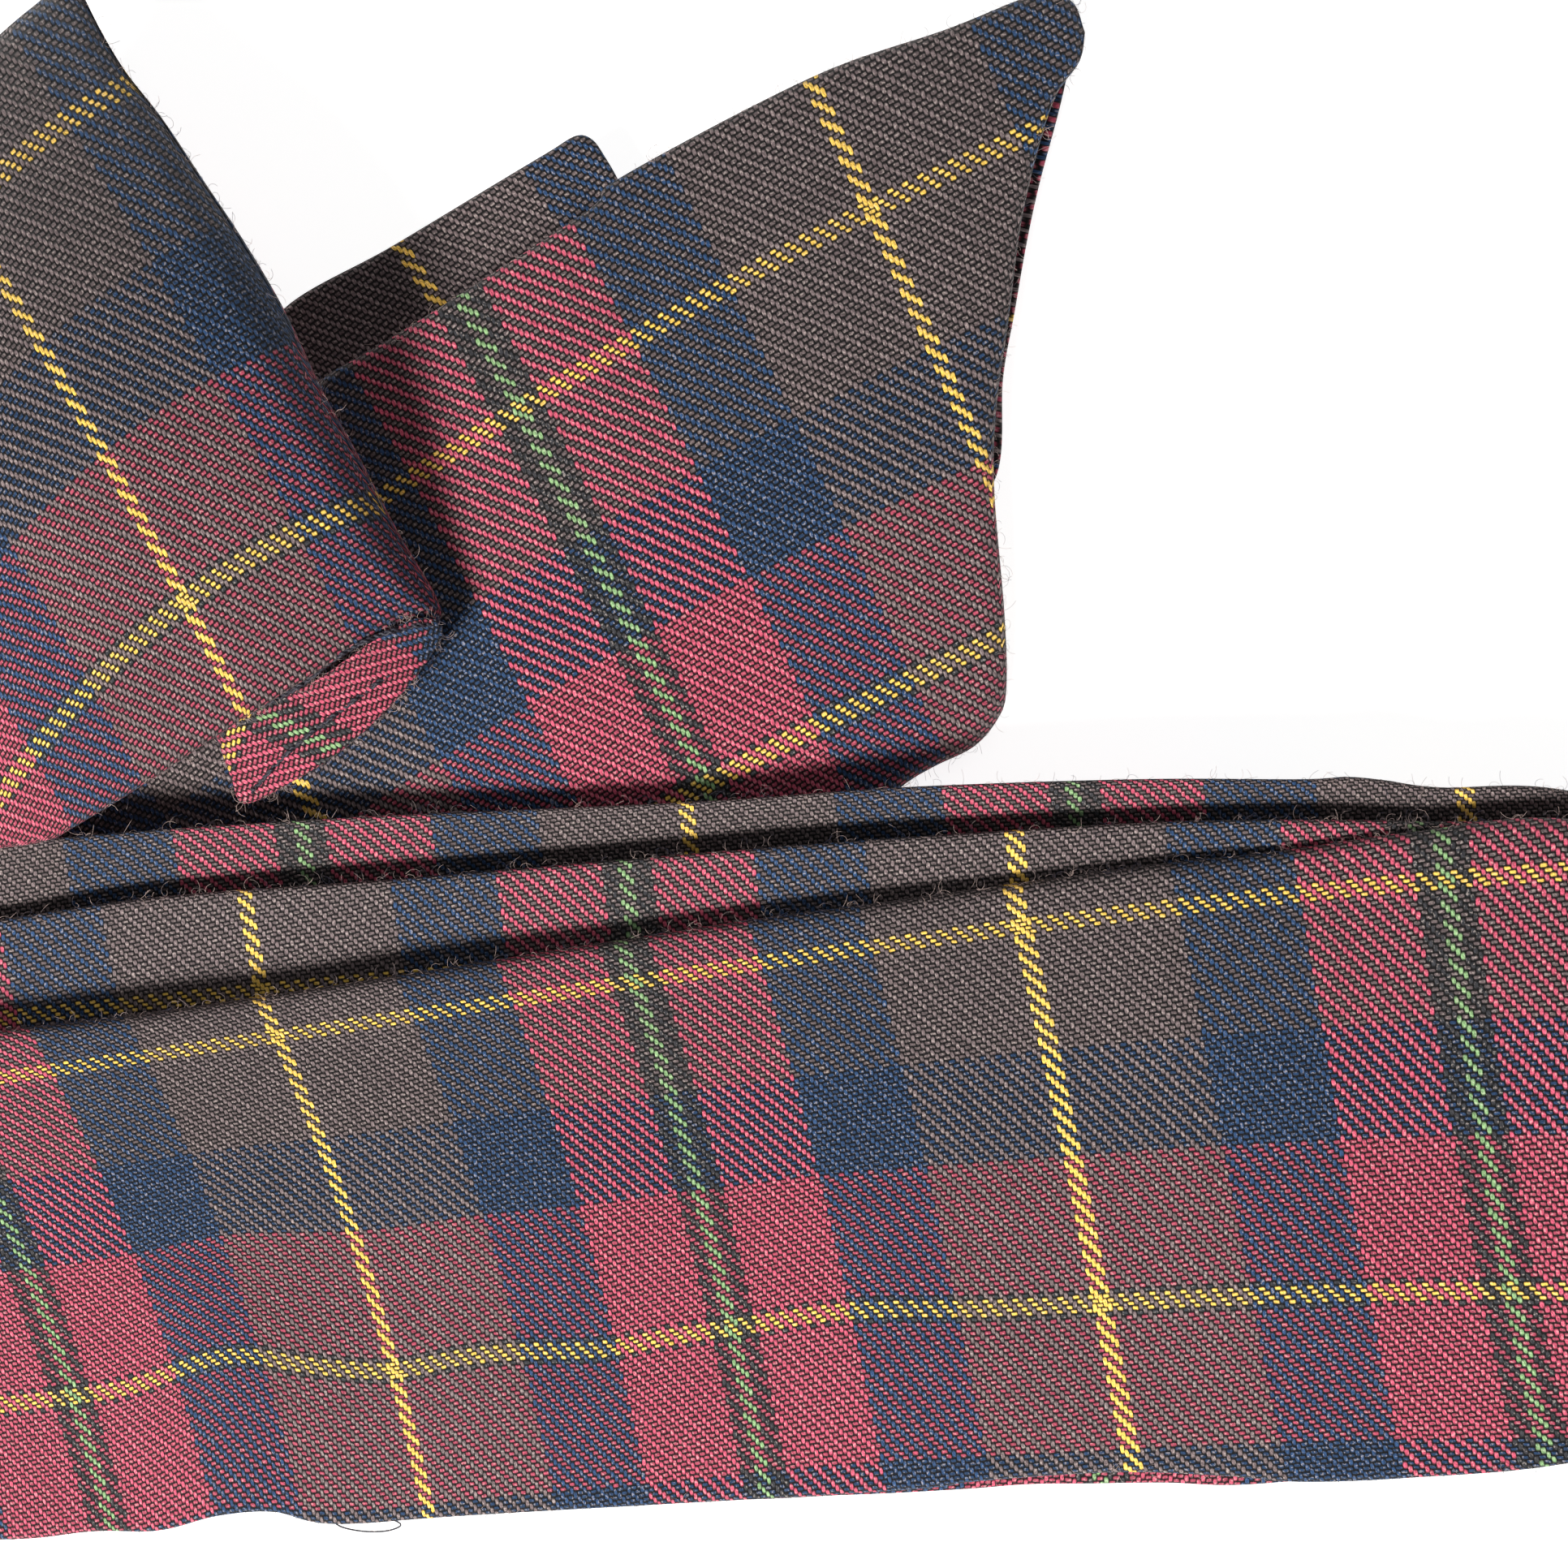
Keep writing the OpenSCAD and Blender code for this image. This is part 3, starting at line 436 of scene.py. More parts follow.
def folded(name, material, seed, upper, lower, heights, crossings, columns, rows, degree=2,
           height_degree=2, drifts=()):
    """A flattened fold of cloth, closed all round.

    upper and lower are its two long edges as the eye sees them, from its left end to its
    right end: rows of x, y and the radius that the cloth turns over at. heights are rows of
    x, y, z, the height of its upper face. crossings are rows of x, y, warp, weft, where
    threads cross. drifts are rows of x, y, reach in x and in y, weft threads and height.
    degree and height_degree are those of the surfaces through crossings and heights.
    """
    top_edge = curve(upper, columns)
    low_edge = curve(lower, columns)
    share = (1 - np.cos(np.linspace(0, math.pi, rows)))[None, :, None] / 2
    grid = low_edge[:, None] * (1 - share) + top_edge[:, None] * share
    rim = np.concatenate([low_edge, top_edge[::-1]])
    x, y = grid[..., 0].ravel(), grid[..., 1].ravel()
    gap = np.hypot(x[:, None] - rim[None, :, 0], y[:, None] - rim[None, :, 1])
    nearest = gap.argmin(1)
    inward = gap.min(1)
    weight = 1 / (gap ** 3 + 0.05)
    radius = (weight * rim[None, :, 2]).sum(1) / weight.sum(1)
    # How far the cloth has turned over at each point, and the length that takes up.
    level_part = np.clip(1 - inward / radius, 0, 1)
    turned = np.arcsin(level_part)
    drop = radius * (1 - np.cos(turned))
    extra = radius * (turned - level_part)
    surface = through(heights, height_degree)(x, y)[:, 0]
    surface = surface + ripple(x, y, WAVES, seed) + drift_at(x, y, drifts, 1)
    lower_z = np.maximum(surface - 2 * radius + drop, FLOOR_GAP)
    upper_z = np.maximum(surface - drop, lower_z + np.minimum(2 * (radius - drop), THINNEST))
    # The threads go on round the fold as they reach its edge, and back on the lower face.
    pattern = through(crossings, degree)
    outward = np.stack([rim[nearest, 0] - x, rim[nearest, 1] - y], axis=1)
    size = np.maximum(np.linalg.norm(outward, axis=1), 1e-6)
    outward = outward / size[:, None]
    tangent = np.roll(rim, -1, axis=0) - np.roll(rim, 1, axis=0)
    side = np.stack([tangent[:, 1], -tangent[:, 0]], axis=1)
    side /= np.maximum(np.linalg.norm(side, axis=1), 1e-6)[:, None]
    outward = np.where(size[:, None] > 0.02, outward, side[nearest])
    step = 0.5
    edge_x, edge_y = rim[nearest, 0], rim[nearest, 1]
    slope = (pattern(edge_x, edge_y)
             - pattern(edge_x - outward[:, 0] * step, edge_y - outward[:, 1] * step)) / step
    upper_uv = pattern(x, y) + slope * extra[:, None]
    upper_uv[:, 1] += drift_at(x, y, drifts, 0)
    wrap = np.where(inward < radius, radius * (math.pi - turned),
                    radius * math.pi + inward - radius)
    lower_uv = pattern(edge_x, edge_y) + slope * (wrap - radius)[:, None]
    points = np.concatenate([seen_from_above(x, y, upper_z), seen_from_above(x, y, lower_z)])
    uv = np.concatenate([upper_uv, lower_uv])
    faces = []
    half = columns * rows
    for i in range(columns - 1):
        for j in range(rows - 1):
            a = i * rows + j
            faces.append((a, a + rows, a + rows + 1, a + 1))
            faces.append((half + a, half + a + 1, half + a + rows + 1, half + a + rows))
    piece = make_mesh(name, points, faces, uv, material)
    weld(piece)
    return piece


def ripple(x, y, size, seed):
    """Gentle unevenness, a few centimetres from crest to crest."""
    r = np.random.default_rng(seed)
    total = np.zeros_like(x)
    longest = 46.0
    for wavelength in (longest, 27.0, 15.0):
        for _ in range(3):
            turn = r.uniform(0, math.pi)
            start = r.uniform(0, 2 * math.pi)
            way = x * math.cos(turn) + y * math.sin(turn)
            total += np.sin(way * 2 * math.pi / wavelength + start) * wavelength / longest
    return total * size / 3


def weld(piece):
    """Joins the points of a piece that lie on each other."""
    work = bmesh.new()
    work.from_mesh(piece.data)
    bmesh.ops.remove_doubles(work, verts=work.verts, dist=1e-6)
    bmesh.ops.dissolve_degenerate(work, edges=work.edges, dist=1e-7)
    work.to_mesh(piece.data)
    work.free()


# ---------------------------------------------------------------- the ribbon
# Everything here is in millimetres from the middle of the view, as the eye sees it. An edge
# is rows of x, y and the radius that the cloth turns over at, heights are rows of x, y and z,
# and crossings are rows of x, y, warp and weft thread.
FRONT = dict(
    upper=[(-126, -58, 1.5), (-120, -34, 1.6), (-96.6, -30.4, 1.8), (-80.6, -28.5, 1.8),
           (-64.7, -26.2, 1.8), (-46.6, -23.4, 1.8), (-6.6, -17.1, 1.8), (12.5, -14.5, 1.8),
           (43.4, -10.2, 1.8), (60.4, -8.3, 1.8), (77.3, -5.9, 1.8), (96.6, -4.3, 1.8),
           (120, -10, 2), (150, -34, 4), (164, -48, 4)],
    lower=[(-126, -58, 1.5), (-120, -92, 0.8), (-96.6, -93.1, 0.8), (-85.1, -92.1, 0.8),
           (-77, -92.0, 0.8), (-69.8, -90.2, 0.8), (-62.9, -89.7, 0.8), (-55.3, -91.2, 0.8),
           (-36.6, -90, 0.8), (13.4, -87.1, 0.8), (24, -85.9, 0.8), (41, -84.8, 0.8),
           (54.8, -85.3, 0.8), (63.8, -86.0, 0.8), (77.1, -85.5, 0.8), (96.6, -83.7, 0.8),
           (120, -78, 2), (150, -62, 4), (164, -48, 4)],
    heights=[(-126, -60, 10), (-96, -93, 3.5), (-96, -60, 10), (-96, -31, 11.5),
             (0, -88, 8), (0, -50, 15), (0, -18, 15.5), (96, -84, 21), (96, -45, 25),
             (96, -5, 24), (150, -46, 32)],
    crossings=[(-104.1, -37.9, -92, 0), (-88.1, -75.9, -92, 86), (-82.9, -91.4, -92, 117),
               (-63.1, -30.9, 0, 0), (-48.6, -71.9, 0, 86), (-43.6, -89.4, 0, 121),
               (-17.9, -24.2, 92, 0), (-6.1, -67.6, 92, 86), (-2.1, -87.8, 92, 124),
               (29.6, -17.4, 184, 0), (39.1, -63.2, 184, 86), (43.4, -84.8, 184, 125),
               (81.2, -11.9, 276, 0), (89.9, -62.4, 276, 86), (93.5, -83.5, 276, 124),
               (-82, -51.2, -63, 41), (-12.5, -46.2, 92, 43), (34, -40.3, 184, 43)],
    columns=300, rows=80, degree=3,
    drifts=[(-68.6, -74, 9, 20, 6.0, 1.2), (-48, -70, 6, 15, -1.8, -0.5),
            (-23, -68, 7, 15, -1.6, -0.4), (8, -66, 13, 16, 2.2, 0.5)])
MIDDLE_PLEAT = dict(
    upper=[(-126, -44, 1.5), (-118, -20, 1.5), (-96.6, -16.7, 1.5), (-76.2, -13.8, 1.5),
           (-46.6, -11.6, 1.5), (-6.6, -8.2, 1.5), (18.9, -6.3, 1.5), (43.4, -4.8, 1.5),
           (60.4, -4.4, 1.5), (77.3, -4.6, 1.5), (96.6, -5.4, 1.5), (120, -12, 1.5),
           (146, -44, 1.5)],
    lower=[(-126, -44, 1.5), (-118, -74, 1.0), (-60, -76, 1.0), (0, -74, 1.0),
           (60, -70, 1.0), (120, -64, 1.0), (146, -44, 1.5)],
    heights=[(-126, -44, 4), (-96, -74, 1.5), (-96, -44, 3), (-96, -26, 6), (-96, -17, 9),
             (-45, -20, 7.5), (-45, -12, 12.5), (0, -74, 2.5), (0, -44, 6), (0, -17, 9.5),
             (0, -9, 14.5), (50, -10, 15), (50, -5, 18.5), (96, -70, 14), (96, -40, 18),
             (96, -6, 21.4), (146, -44, 27)],
    crossings=[(-67.6, -13.2, 0, -25), (-64.1, -25.4, 0, 0), (-19.1, -9.4, 92, -25),
               (-18.1, -21.9, 92, 0), (28.9, -5.7, 184, -25), (29.6, -18.2, 184, 0),
               (77.4, -4.5, 276, -25), (78.4, -16.6, 276, 0), (-112, -18, -92, -25),
               (-109, -31, -92, 0), (-60, -45, 0, 40), (34, -40, 184, 40)],
    columns=240, rows=50, height_degree=3)
BACK_PLEAT = dict(
    upper=[(-126, -34, 1.5), (-118, -11, 1.5), (-96.6, -7.4, 1.5), (-58.6, -4.4, 1.5),
           (-11.6, -2.2, 1.5), (14.4, -0.4, 1.5), (43.4, 0.6, 1.5), (63.7, 0.6, 1.5),
           (69.2, 0.9, 1.5), (73.9, 0.5, 1.5), (80.7, -0.4, 1.5), (96.6, -0.8, 1.5),
           (120, -8, 1.5), (146, -42, 1.5)],
    lower=[(-126, -34, 1.5), (-118, -60, 1.0), (-60, -64, 1.0), (0, -62, 1.0),
           (60, -60, 1.0), (120, -56, 1.0), (146, -42, 1.5)],
    heights=[(-126, -34, 2.5), (-96, -60, 1.5), (-96, -34, 1.5), (-96, -17, 3.5),
             (-96, -9, 11), (-45, -12, 5), (-45, -5, 11.5), (0, -60, 1.5), (0, -34, 3),
             (0, -9, 7.5), (0, -3, 13), (50, -6, 12), (50, -1, 16), (96, -58, 10),
             (96, -34, 14), (96, -5, 17), (96, -1, 18.5), (146, -42, 23)],
    crossings=[(-59.8, -4.6, -92, -27), (-58.6, -12.4, -92, -9), (-11.8, -2.2, 0, -27),
               (-11.3, -8.6, 0, -12), (35.2, 0.4, 92, -27), (36.2, -5.2, 92, -14),
               (84.6, -0.2, 184, -27), (83.4, -4.0, 184, -18), (-104, -8, -178, -27),
               (-102, -16, -178, -9), (-58, -34, -92, 34), (36, -34, 92, 40)],
    columns=240, rows=50, height_degree=3)
# The band's under layer, which shows along its lower edge.
BAND_UNDER = dict(
    upper=[(-30, -84, 0.5), (-20, -80, 0.5), (30, -78, 0.5), (80, -78, 0.5), (92, -80, 0.5)],
    lower=[(-30, -84, 0.5), (-12, -88.0, 0.5), (8, -87.6, 0.5), (22, -86.9, 0.5),
           (30, -86.3, 0.5), (38, -86.2, 0.5), (47, -86.1, 0.5), (55, -86.4, 0.5),
           (64, -85.8, 0.5), (78, -84.6, 0.5), (86, -84.6, 0.5), (92, -80, 0.5)],
    heights=[(-30, -84, 2.5), (0, -86, 2.5), (40, -86, 4), (90, -82, 8), (40, -78, 4),
             (0, -78, 2.5)],
    crossings=[(38, -86.4, 90, 100), (20, -87, 57, 100), (56, -86, 123, 100),
               (38, -82, 90, 108)],
    columns=150, rows=20, degree=1)
# The end that fans out to the upper right, and the layers that show behind and under it.
WING = dict(
    upper=[(-92, -9, 1.2), (-88, 6, 1.2), (-74, 22, 1.2), (-64, 37, 1.2), (-57.5, 47, 1.2),
           (-56.6, 50.1, 1.2), (-48, 55.2, 1.0), (-24.6, 70.4, 1.0), (-20.4, 74.6, 1.0),
           (3.4, 87.1, 1.2), (20, 93, 1.2), (31.4, 97.4, 1.4), (35.5, 96.4, 1.5),
           (37.1, 92.6, 1.5)],
    lower=[(-92, -9, 1.2), (-50, -10.5, 1.2), (-16.6, -8.4, 1.2), (8, -6, 1.5),
           (14.4, -0.4, 1.8), (18.4, 2.1, 2.2), (23.4, 4.6, 2.6), (26.4, 8.1, 2.8),
           (27.4, 11.6, 2.8), (27.2, 20.6, 2.6), (25.9, 36.6, 2.4), (26.2, 46.6, 2.2),
           (27.6, 56.6, 2.0), (29.5, 70.6, 1.8), (33.0, 83.6, 1.6), (36.4, 89.0, 1.5),
           (37.1, 92.6, 1.5)],
    heights=[(-90, -4, 2), (-50, -6, 3), (-10, -6, 5), (12, -2, 6), (-70, 25, 10),
             (-30, 30, 17), (0, 30, 17), (22, 25, 12), (-50, 52, 15), (0, 60, 18),
             (24, 60, 14), (30, 90, 11), (0, 84, 16)],
    crossings=[(-32.6, 46.6, -92, 0), (-25.1, 30.6, -92, 29), (-18.3, 17.6, -92, 53),
               (-10.8, 1.1, -92, 86), (-40.1, 59.6, -92, -25), (-16.9, 54.6, -61, 0),
               (-3.4, 23.8, -61, 53), (3.7, 7.3, -61, 86), (10.9, 71.6, 0, 0),
               (3.9, 87.1, 0, -29), (18.4, 54.6, 0, 31), (24.7, 38.3, -2, 53),
               (32.4, 81.6, 45, 0), (26.4, 17.6, -14, 86), (-47.6, 37.6, -123, 0),
               (-31.6, 8.8, -123, 53), (-43.6, 3.1, -149, 53), (-58.6, 0.6, -184, 40),
               (-57, -3.6, -184, 48)],
    columns=260, rows=110)
WING_BACK = dict(
    upper=[(20, 30, 0.6), (22, 60, 0.6), (28, 84, 0.6), (35.6, 90.5, 0.6)],
    lower=[(20, 30, 0.6), (26.2, 38, 0.6), (27.0, 50, 0.6), (28.4, 58, 0.6),
           (29.9, 66.6, 0.6), (31.5, 74, 0.6), (33.9, 83, 0.6), (35.6, 90.5, 0.6)],
    heights=[(20, 30, 8), (28, 60, 8), (33, 86, 6), (22, 60, 8), (26, 45, 8)],
    crossings=[(27.8, 57.5, 0, 70), (28.8, 57.5, 0, 72), (33.5, 80, 46, 70),
               (34.5, 80, 46, 72), (27, 44, -26, 70), (28, 44, -26, 72)],
    columns=90, rows=20, degree=1)
WING_UNDER = dict(
    upper=[(-66, 50, 1.0), (-61.6, 58.6, 1.0), (-48.6, 66.1, 1.0), (-36, 73.7, 1.0),
           (-29, 77.9, 1.0), (-25.6, 79.9, 1.0), (-23.6, 79.4, 1.0), (-22, 77.2, 1.0),
           (-20.2, 74.0, 1.0), (-18, 69, 1.0)],
    lower=[(-66, 50, 1.0), (-56, 42, 1.0), (-40, 50, 1.0), (-24, 62, 1.0), (-18, 69, 1.0)],
    heights=[(-66, 50, 8), (-50, 60, 9), (-24, 78, 10), (-40, 50, 8), (-20, 66, 9)],
    crossings=[(-48.1, 66.1, 0, -27), (-43.6, 59.6, 0, -14), (-31.6, 76, 36, -27),
               (-27, 69, 36, -14), (-62, 58, -34, -27), (-57.5, 51.5, -34, -14)],
    columns=130, rows=40, degree=1)
# The end that stands up at the left, and the hem at its tip.
RAISED_END = dict(
    upper=[(-126, -9.5, 2), (-128, 20, 3), (-124, 55, 3), (-110, 80, 2.5),
           (-96.6, 92.4, 2.5), (-91.6, 96.6, 2.5), (-89, 99, 2.5), (-87.5, 99.4, 2.5),
           (-86.3, 96.6, 2.5)],
    lower=[(-126, -9.5, 2), (-110, -8.8, 2), (-96.6, -7.9, 2), (-90.6, -6.9, 2),
           (-87.6, -5.4, 2), (-78.6, 0.1, 1.6), (-69.6, 6.1, 1.2), (-60, 12.2, 1.2),
           (-51.6, 17.4, 1.6), (-46, 20, 3), (-42.6, 19.8, 4), (-42.8, 23, 5),
           (-47.6, 31.2, 6.5), (-52.6, 40.8, 7), (-56.6, 48, 7), (-61.6, 58.5, 7),
           (-66.6, 67, 6.5), (-71.6, 74.5, 6), (-76.6, 82, 5), (-81.6, 88.5, 4),
           (-86.3, 96.6, 2.5)],
    heights=[(-126, -8, 16), (-128, 50, 32), (-96, -5, 20), (-96, 35, 42), (-96, 80, 30),
             (-75, 35, 41), (-75, 5, 24), (-60, 30, 35), (-47, 22, 26), (-70, 65, 32),
             (-88, 90, 26)],
    crossings=[(-101.6, 70.8, 0, 0), (-91.4, 53.6, 0, 29), (-83.4, 40.4, 0, 53),
               (-73.8, 22.6, 0, 86), (-68.1, 8.6, 0, 109), (-87.6, 83.1, 35, 0),
               (-78.1, 65.8, 35, 29), (-69.8, 51.4, 35, 53), (-58.1, 32.4, 35, 86),
               (-80.1, 84.8, 56, 0), (-62.6, 53.1, 54, 53), (-50.1, 34.6, 58, 86),
               (-86.1, 11.3, -35, 86), (-91.8, 5.8, -61, 86), (-96.6, 26.6, -38, 53),
               (-87.6, -4.4, -61, 103)],
    columns=260, rows=110)
RAISED_HEM = dict(
    upper=[(-70.2, 6.6, 0.5), (-64, 9.8, 0.5), (-58, 12.6, 0.5), (-51, 17.4, 0.5),
           (-46, 20.2, 0.5), (-42.8, 20.3, 0.5)],
    lower=[(-70.2, 6.6, 0.5), (-68.2, 1, 0.5), (-66.4, -2.4, 0.5), (-60, 0.6, 0.5),
           (-53.6, 4.8, 0.5), (-47, 11.2, 0.5), (-42.8, 16.8, 0.5), (-42.0, 18.8, 0.5),
           (-42.8, 20.3, 0.5)],
    heights=[(-70, 6, 18.5), (-66, -2, 14), (-58, 8, 19), (-53, 5, 17), (-46, 14, 19),
             (-43, 19, 21)],
    crossings=[(-62.6, 7.6, 92, 94), (-57.8, 5.6, 92, 104), (-66, 2.4, 78, 91),
               (-49.9, 13.1, 113, 112), (-53.4, 6.9, 99, 110)],
    columns=150, rows=40, degree=1)
# Each folded piece, its shape, and the seed of its unevenness.
FOLDED = dict(
    ribbon_band_front=(FRONT, 3), ribbon_band_middle=(MIDDLE_PLEAT, 4),
    ribbon_band_back=(BACK_PLEAT, 5), ribbon_band_under=(BAND_UNDER, 11),
    ribbon_wing=(WING, 6), ribbon_wing_back=(WING_BACK, 7), ribbon_wing_under=(WING_UNDER, 8),
    ribbon_end=(RAISED_END, 9), ribbon_end_hem=(RAISED_HEM, 10))
# The CAD nodes that folded pieces stand for.
STAND_FOR = dict(ribbon_band_front="ribbon_run", ribbon_wing="ribbon_fold",
                 ribbon_end="ribbon_tail")
# Rows of sewing along the raised end's hem: places that the thread passes, x and y.
HEM_SEAMS = [[(-69.4, 8.1), (-64.5, 9.6), (-59.6, 12.1), (-55.4, 15.4), (-51.6, 17.6),
              (-47, 19.2), (-43.2, 19.8)],
             [(-65.6, -1.0), (-62.1, 2.9), (-59.4, 5.4), (-56.6, 7.6), (-52.6, 10.6),
              (-48.6, 13.6)]]


def tube(points, radius, sides):
    """Points and faces of a thin round tube along points."""
    along = np.gradient(points, axis=0)
    along /= np.linalg.norm(along, axis=1)[:, None]
    side = np.cross(along, (0, 0, 1))
    side /= np.maximum(np.linalg.norm(side, axis=1), 1e-9)[:, None]
    top = np.cross(side, along)
    rings = [points + radius * (side * math.cos(a) + top * math.sin(a))
             for a in 2 * math.pi * np.arange(sides) / sides]
    grid = np.stack(rings, axis=1).reshape(-1, 3)
    faces = grid_faces(len(points), sides)
    faces.append(tuple(range(sides))[::-1])
    faces.append(tuple(range(len(grid) - sides, len(grid))))
    return grid, faces


def join_tubes(name, runs, radius, material, sides=6):
    """One mesh of many thin tubes, whose UV map is not used."""
    points, faces = [], []
    for run in runs:
        grid, rim = tube(run, radius, sides)
        faces += [tuple(i + len(points) for i in face) for face in rim]
        points += [*grid]
    return make_mesh(name, points, faces, np.zeros((len(points), 2)), material)


# A loose end of sewing thread that has worked out of the band's lower edge.
LOOSE_THREAD = [(-56.2, -90.2), (-54.6, -91.5), (-51.6, -92.1), (-48.8, -92.0),
                (-47.2, -91.3), (-48.6, -90.6), (-51.0, -90.9)]


def make_loose_thread(thread):
    """The loose end of sewing thread, which lies just above the floor."""
    path = curve(LOOSE_THREAD, 80)
    run = seen_from_above(path[:, 0], path[:, 1], np.linspace(2.4, 3.6, len(path)))
    return join_tubes("ribbon_loose_thread", [run], 0.11 * MM, thread)


# Where loose fibres stand out of the cloth: the piece, which of its edges, and how many
# fibres for each millimetre.
FUZZY_EDGES = [(FRONT, "upper", 2.2), (FRONT, "lower", 1.6), (MIDDLE_PLEAT, "upper", 2.0),
               (BACK_PLEAT, "upper", 1.6), (WING, "upper", 1.2), (WING, "lower", 1.4),
               (RAISED_END, "lower", 1.8), (RAISED_HEM, "lower", 5.0),
               (RAISED_HEM, "upper", 5.0)]


def make_fuzz(fibre):
    """Short curled fibres along the folds."""
    r = np.random.default_rng(31)
    share = np.linspace(0, 1, 6)
    runs = []
    for shape, edge, density in FUZZY_EDGES:
        path = curve(shape[edge], 400)
        surface = through(shape["heights"], shape.get("height_degree", 2))
        length = np.linalg.norm(np.diff(path[:, :2], axis=0), axis=1).sum()
        for _ in range(int(length * density)):
            x, y, radius = path[r.integers(len(path))]
            z = surface([x], [y])[0, 0] - radius * r.uniform(0.3, 1.2)
            turn = r.uniform(0, 2 * math.pi)
            curl = r.normal(0, 1.4)
            length_out = r.uniform(0.5, 1.9) * share
            way = turn + curl * share
            level = np.maximum(z + r.uniform(0.2, 1.2) * share, 0.3)
            runs.append(seen_from_above(x + length_out * np.cos(way),
                                        y + length_out * np.sin(way), level))
    return join_tubes("ribbon_fuzz", runs, 0.02 * MM, fibre, 3)


def make_sewing(thread):
    """Two-strand stitches that go over and under the hem."""
    surface = through(RAISED_HEM["heights"])
    twist_length, stitch_length = 1.6, 3.4
    runs = []
    for seam in HEM_SEAMS:
        path = curve(seam, 240)
        step = np.linalg.norm(np.diff(path, axis=0), axis=1)
        along = np.concatenate([[0], np.cumsum(step)])
        for strand in (0, math.pi):
            twist = along * 2 * math.pi / twist_length + strand
            dip = 0.5 * np.maximum(np.cos(along * 2 * math.pi / stitch_length), -0.2)
            z = surface(path[:, 0], path[:, 1])[:, 0] + 0.3 + dip + 0.12 * np.sin(twist)
            y = path[:, 1] + 0.2 * np.cos(twist)
            runs.append(seen_from_above(path[:, 0], y, z))
    return join_tubes("ribbon_hem_stitches", runs, 0.17 * MM, thread)


def make_ribbon(cloth):
    pieces = [folded(name, cloth, seed, **shape) for name, (shape, seed) in FOLDED.items()]
    for piece in pieces:
        if piece.name in STAND_FOR:
            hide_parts(STAND_FOR[piece.name])
    return pieces


# ---------------------------------------------------------------- the pipes
# Where each stock crosses the bag's seam, and the way its pipe points: x, y and degrees.
# The axes lie AXIS_LEVEL above the floor, and a stock's mouth is STOCK_OUT from the seam.
PIPES = dict(bass=(0, 125, 90), middle_tenor=(84, 117, 83), outer_tenor=(160, 94, 74),
             blowpipe=(-133, 85, 150), chanter=(-400, -78, 196))
AXIS_LEVEL = 31.0
STOCK_OUT = 65.0


def pipe_of(node):
    """The name of the pipe that a CAD node belongs to."""
    if node.startswith(("mouthpiece", "valve")):
        return "blowpipe"
    return next((pipe for pipe in PIPES if node.startswith(pipe)), "bass")


def pipe_point(pipe, along, out, turn):
    """The place that lies along a pipe from its stock's mouth, and out from its axis."""
    x, y, degrees = PIPES[pipe]
    way = math.radians(degrees)
    reach = STOCK_OUT + along
    side = out * math.cos(turn)
    return np.array([x + reach * math.cos(way) - side * math.sin(way),
                     y + reach * math.sin(way) + side * math.cos(way),
                     AXIS_LEVEL + out * math.sin(turn)]) * MM


def lengthwise(g, pipe, scale):
    """Coordinates whose X runs along a pipe, in units of 1 / scale metres."""
    node = g.node("ShaderNodeMapping", vector_type="POINT")
    g.put(g.node("ShaderNodeTexCoord").outputs["Object"], node.inputs["Vector"])
    node.inputs["Rotation"].default_value = (0, 0, -math.radians(PIPES[pipe][2]))
    node.inputs["Scale"].default_value = scale
    return node.outputs[0]


def blackwood(pipe):
    g = Graph("blackwood_" + pipe)
    grain = g.noise(lengthwise(g, pipe, (18, 420, 420)), 1.0, 5.0, 0.65)
    pores = g.noise(lengthwise(g, pipe, (90, 1600, 1600)), 1.0, 2.0, 0.6)
    colour = g.blend(g.between(grain, 0.35, 0.7), rgb(34, 25, 23), rgb(78, 54, 44))
    colour = g.blend(g.between(pores, 0.6, 0.75, 0.0, 0.6), colour, rgb(16, 12, 12))
    rough = g.between(grain, 0.3, 0.7, 0.24, 0.4)
    normal = g.bump(g.sub(grain, g.mul(pores, 0.6)), 0.05 * MM, 0.5)
    return g.finish(colour, rough, normal, Coat_Weight=0.35, Coat_Roughness=0.12)


def ivory(pipe):
    g = Graph("imitation_ivory_" + pipe)
    streak = g.noise(lengthwise(g, pipe, (25, 260, 260)), 1.0, 4.0, 0.6)
    cloud = g.noise(lengthwise(g, pipe, (60, 60, 60)), 1.0, 3.0)
    colour = g.blend(g.between(streak, 0.35, 0.65), rgb(238, 228, 202), rgb(222, 206, 170))
    colour = g.blend(g.between(cloud, 0.5, 0.75, 0.0, 0.35), colour, rgb(210, 190, 150))
    normal = g.bump(cloud, 0.04 * MM, 0.4)
    return g.finish(colour, g.between(cloud, 0.3, 0.7, 0.2, 0.34), normal,
                    Coat_Weight=0.3, Coat_Roughness=0.1)


def polished_metal(pipe, name, light, dark):
    g = Graph(name + "_" + pipe)
    turning = g.noise(lengthwise(g, pipe, (2600, 30, 30)), 1.0, 2.0)
    stain = g.noise(lengthwise(g, pipe, (90, 90, 90)), 1.0, 4.0, 0.6)
    colour = g.blend(g.between(stain, 0.45, 0.75), light, dark)
    rough = g.add(g.between(turning, 0.3, 0.7, 0.14, 0.26), g.between(stain, 0.5, 0.8, 0, 0.15))
    return g.finish(colour, rough, g.bump(turning, 0.02 * MM, 0.4), Metallic=1.0)


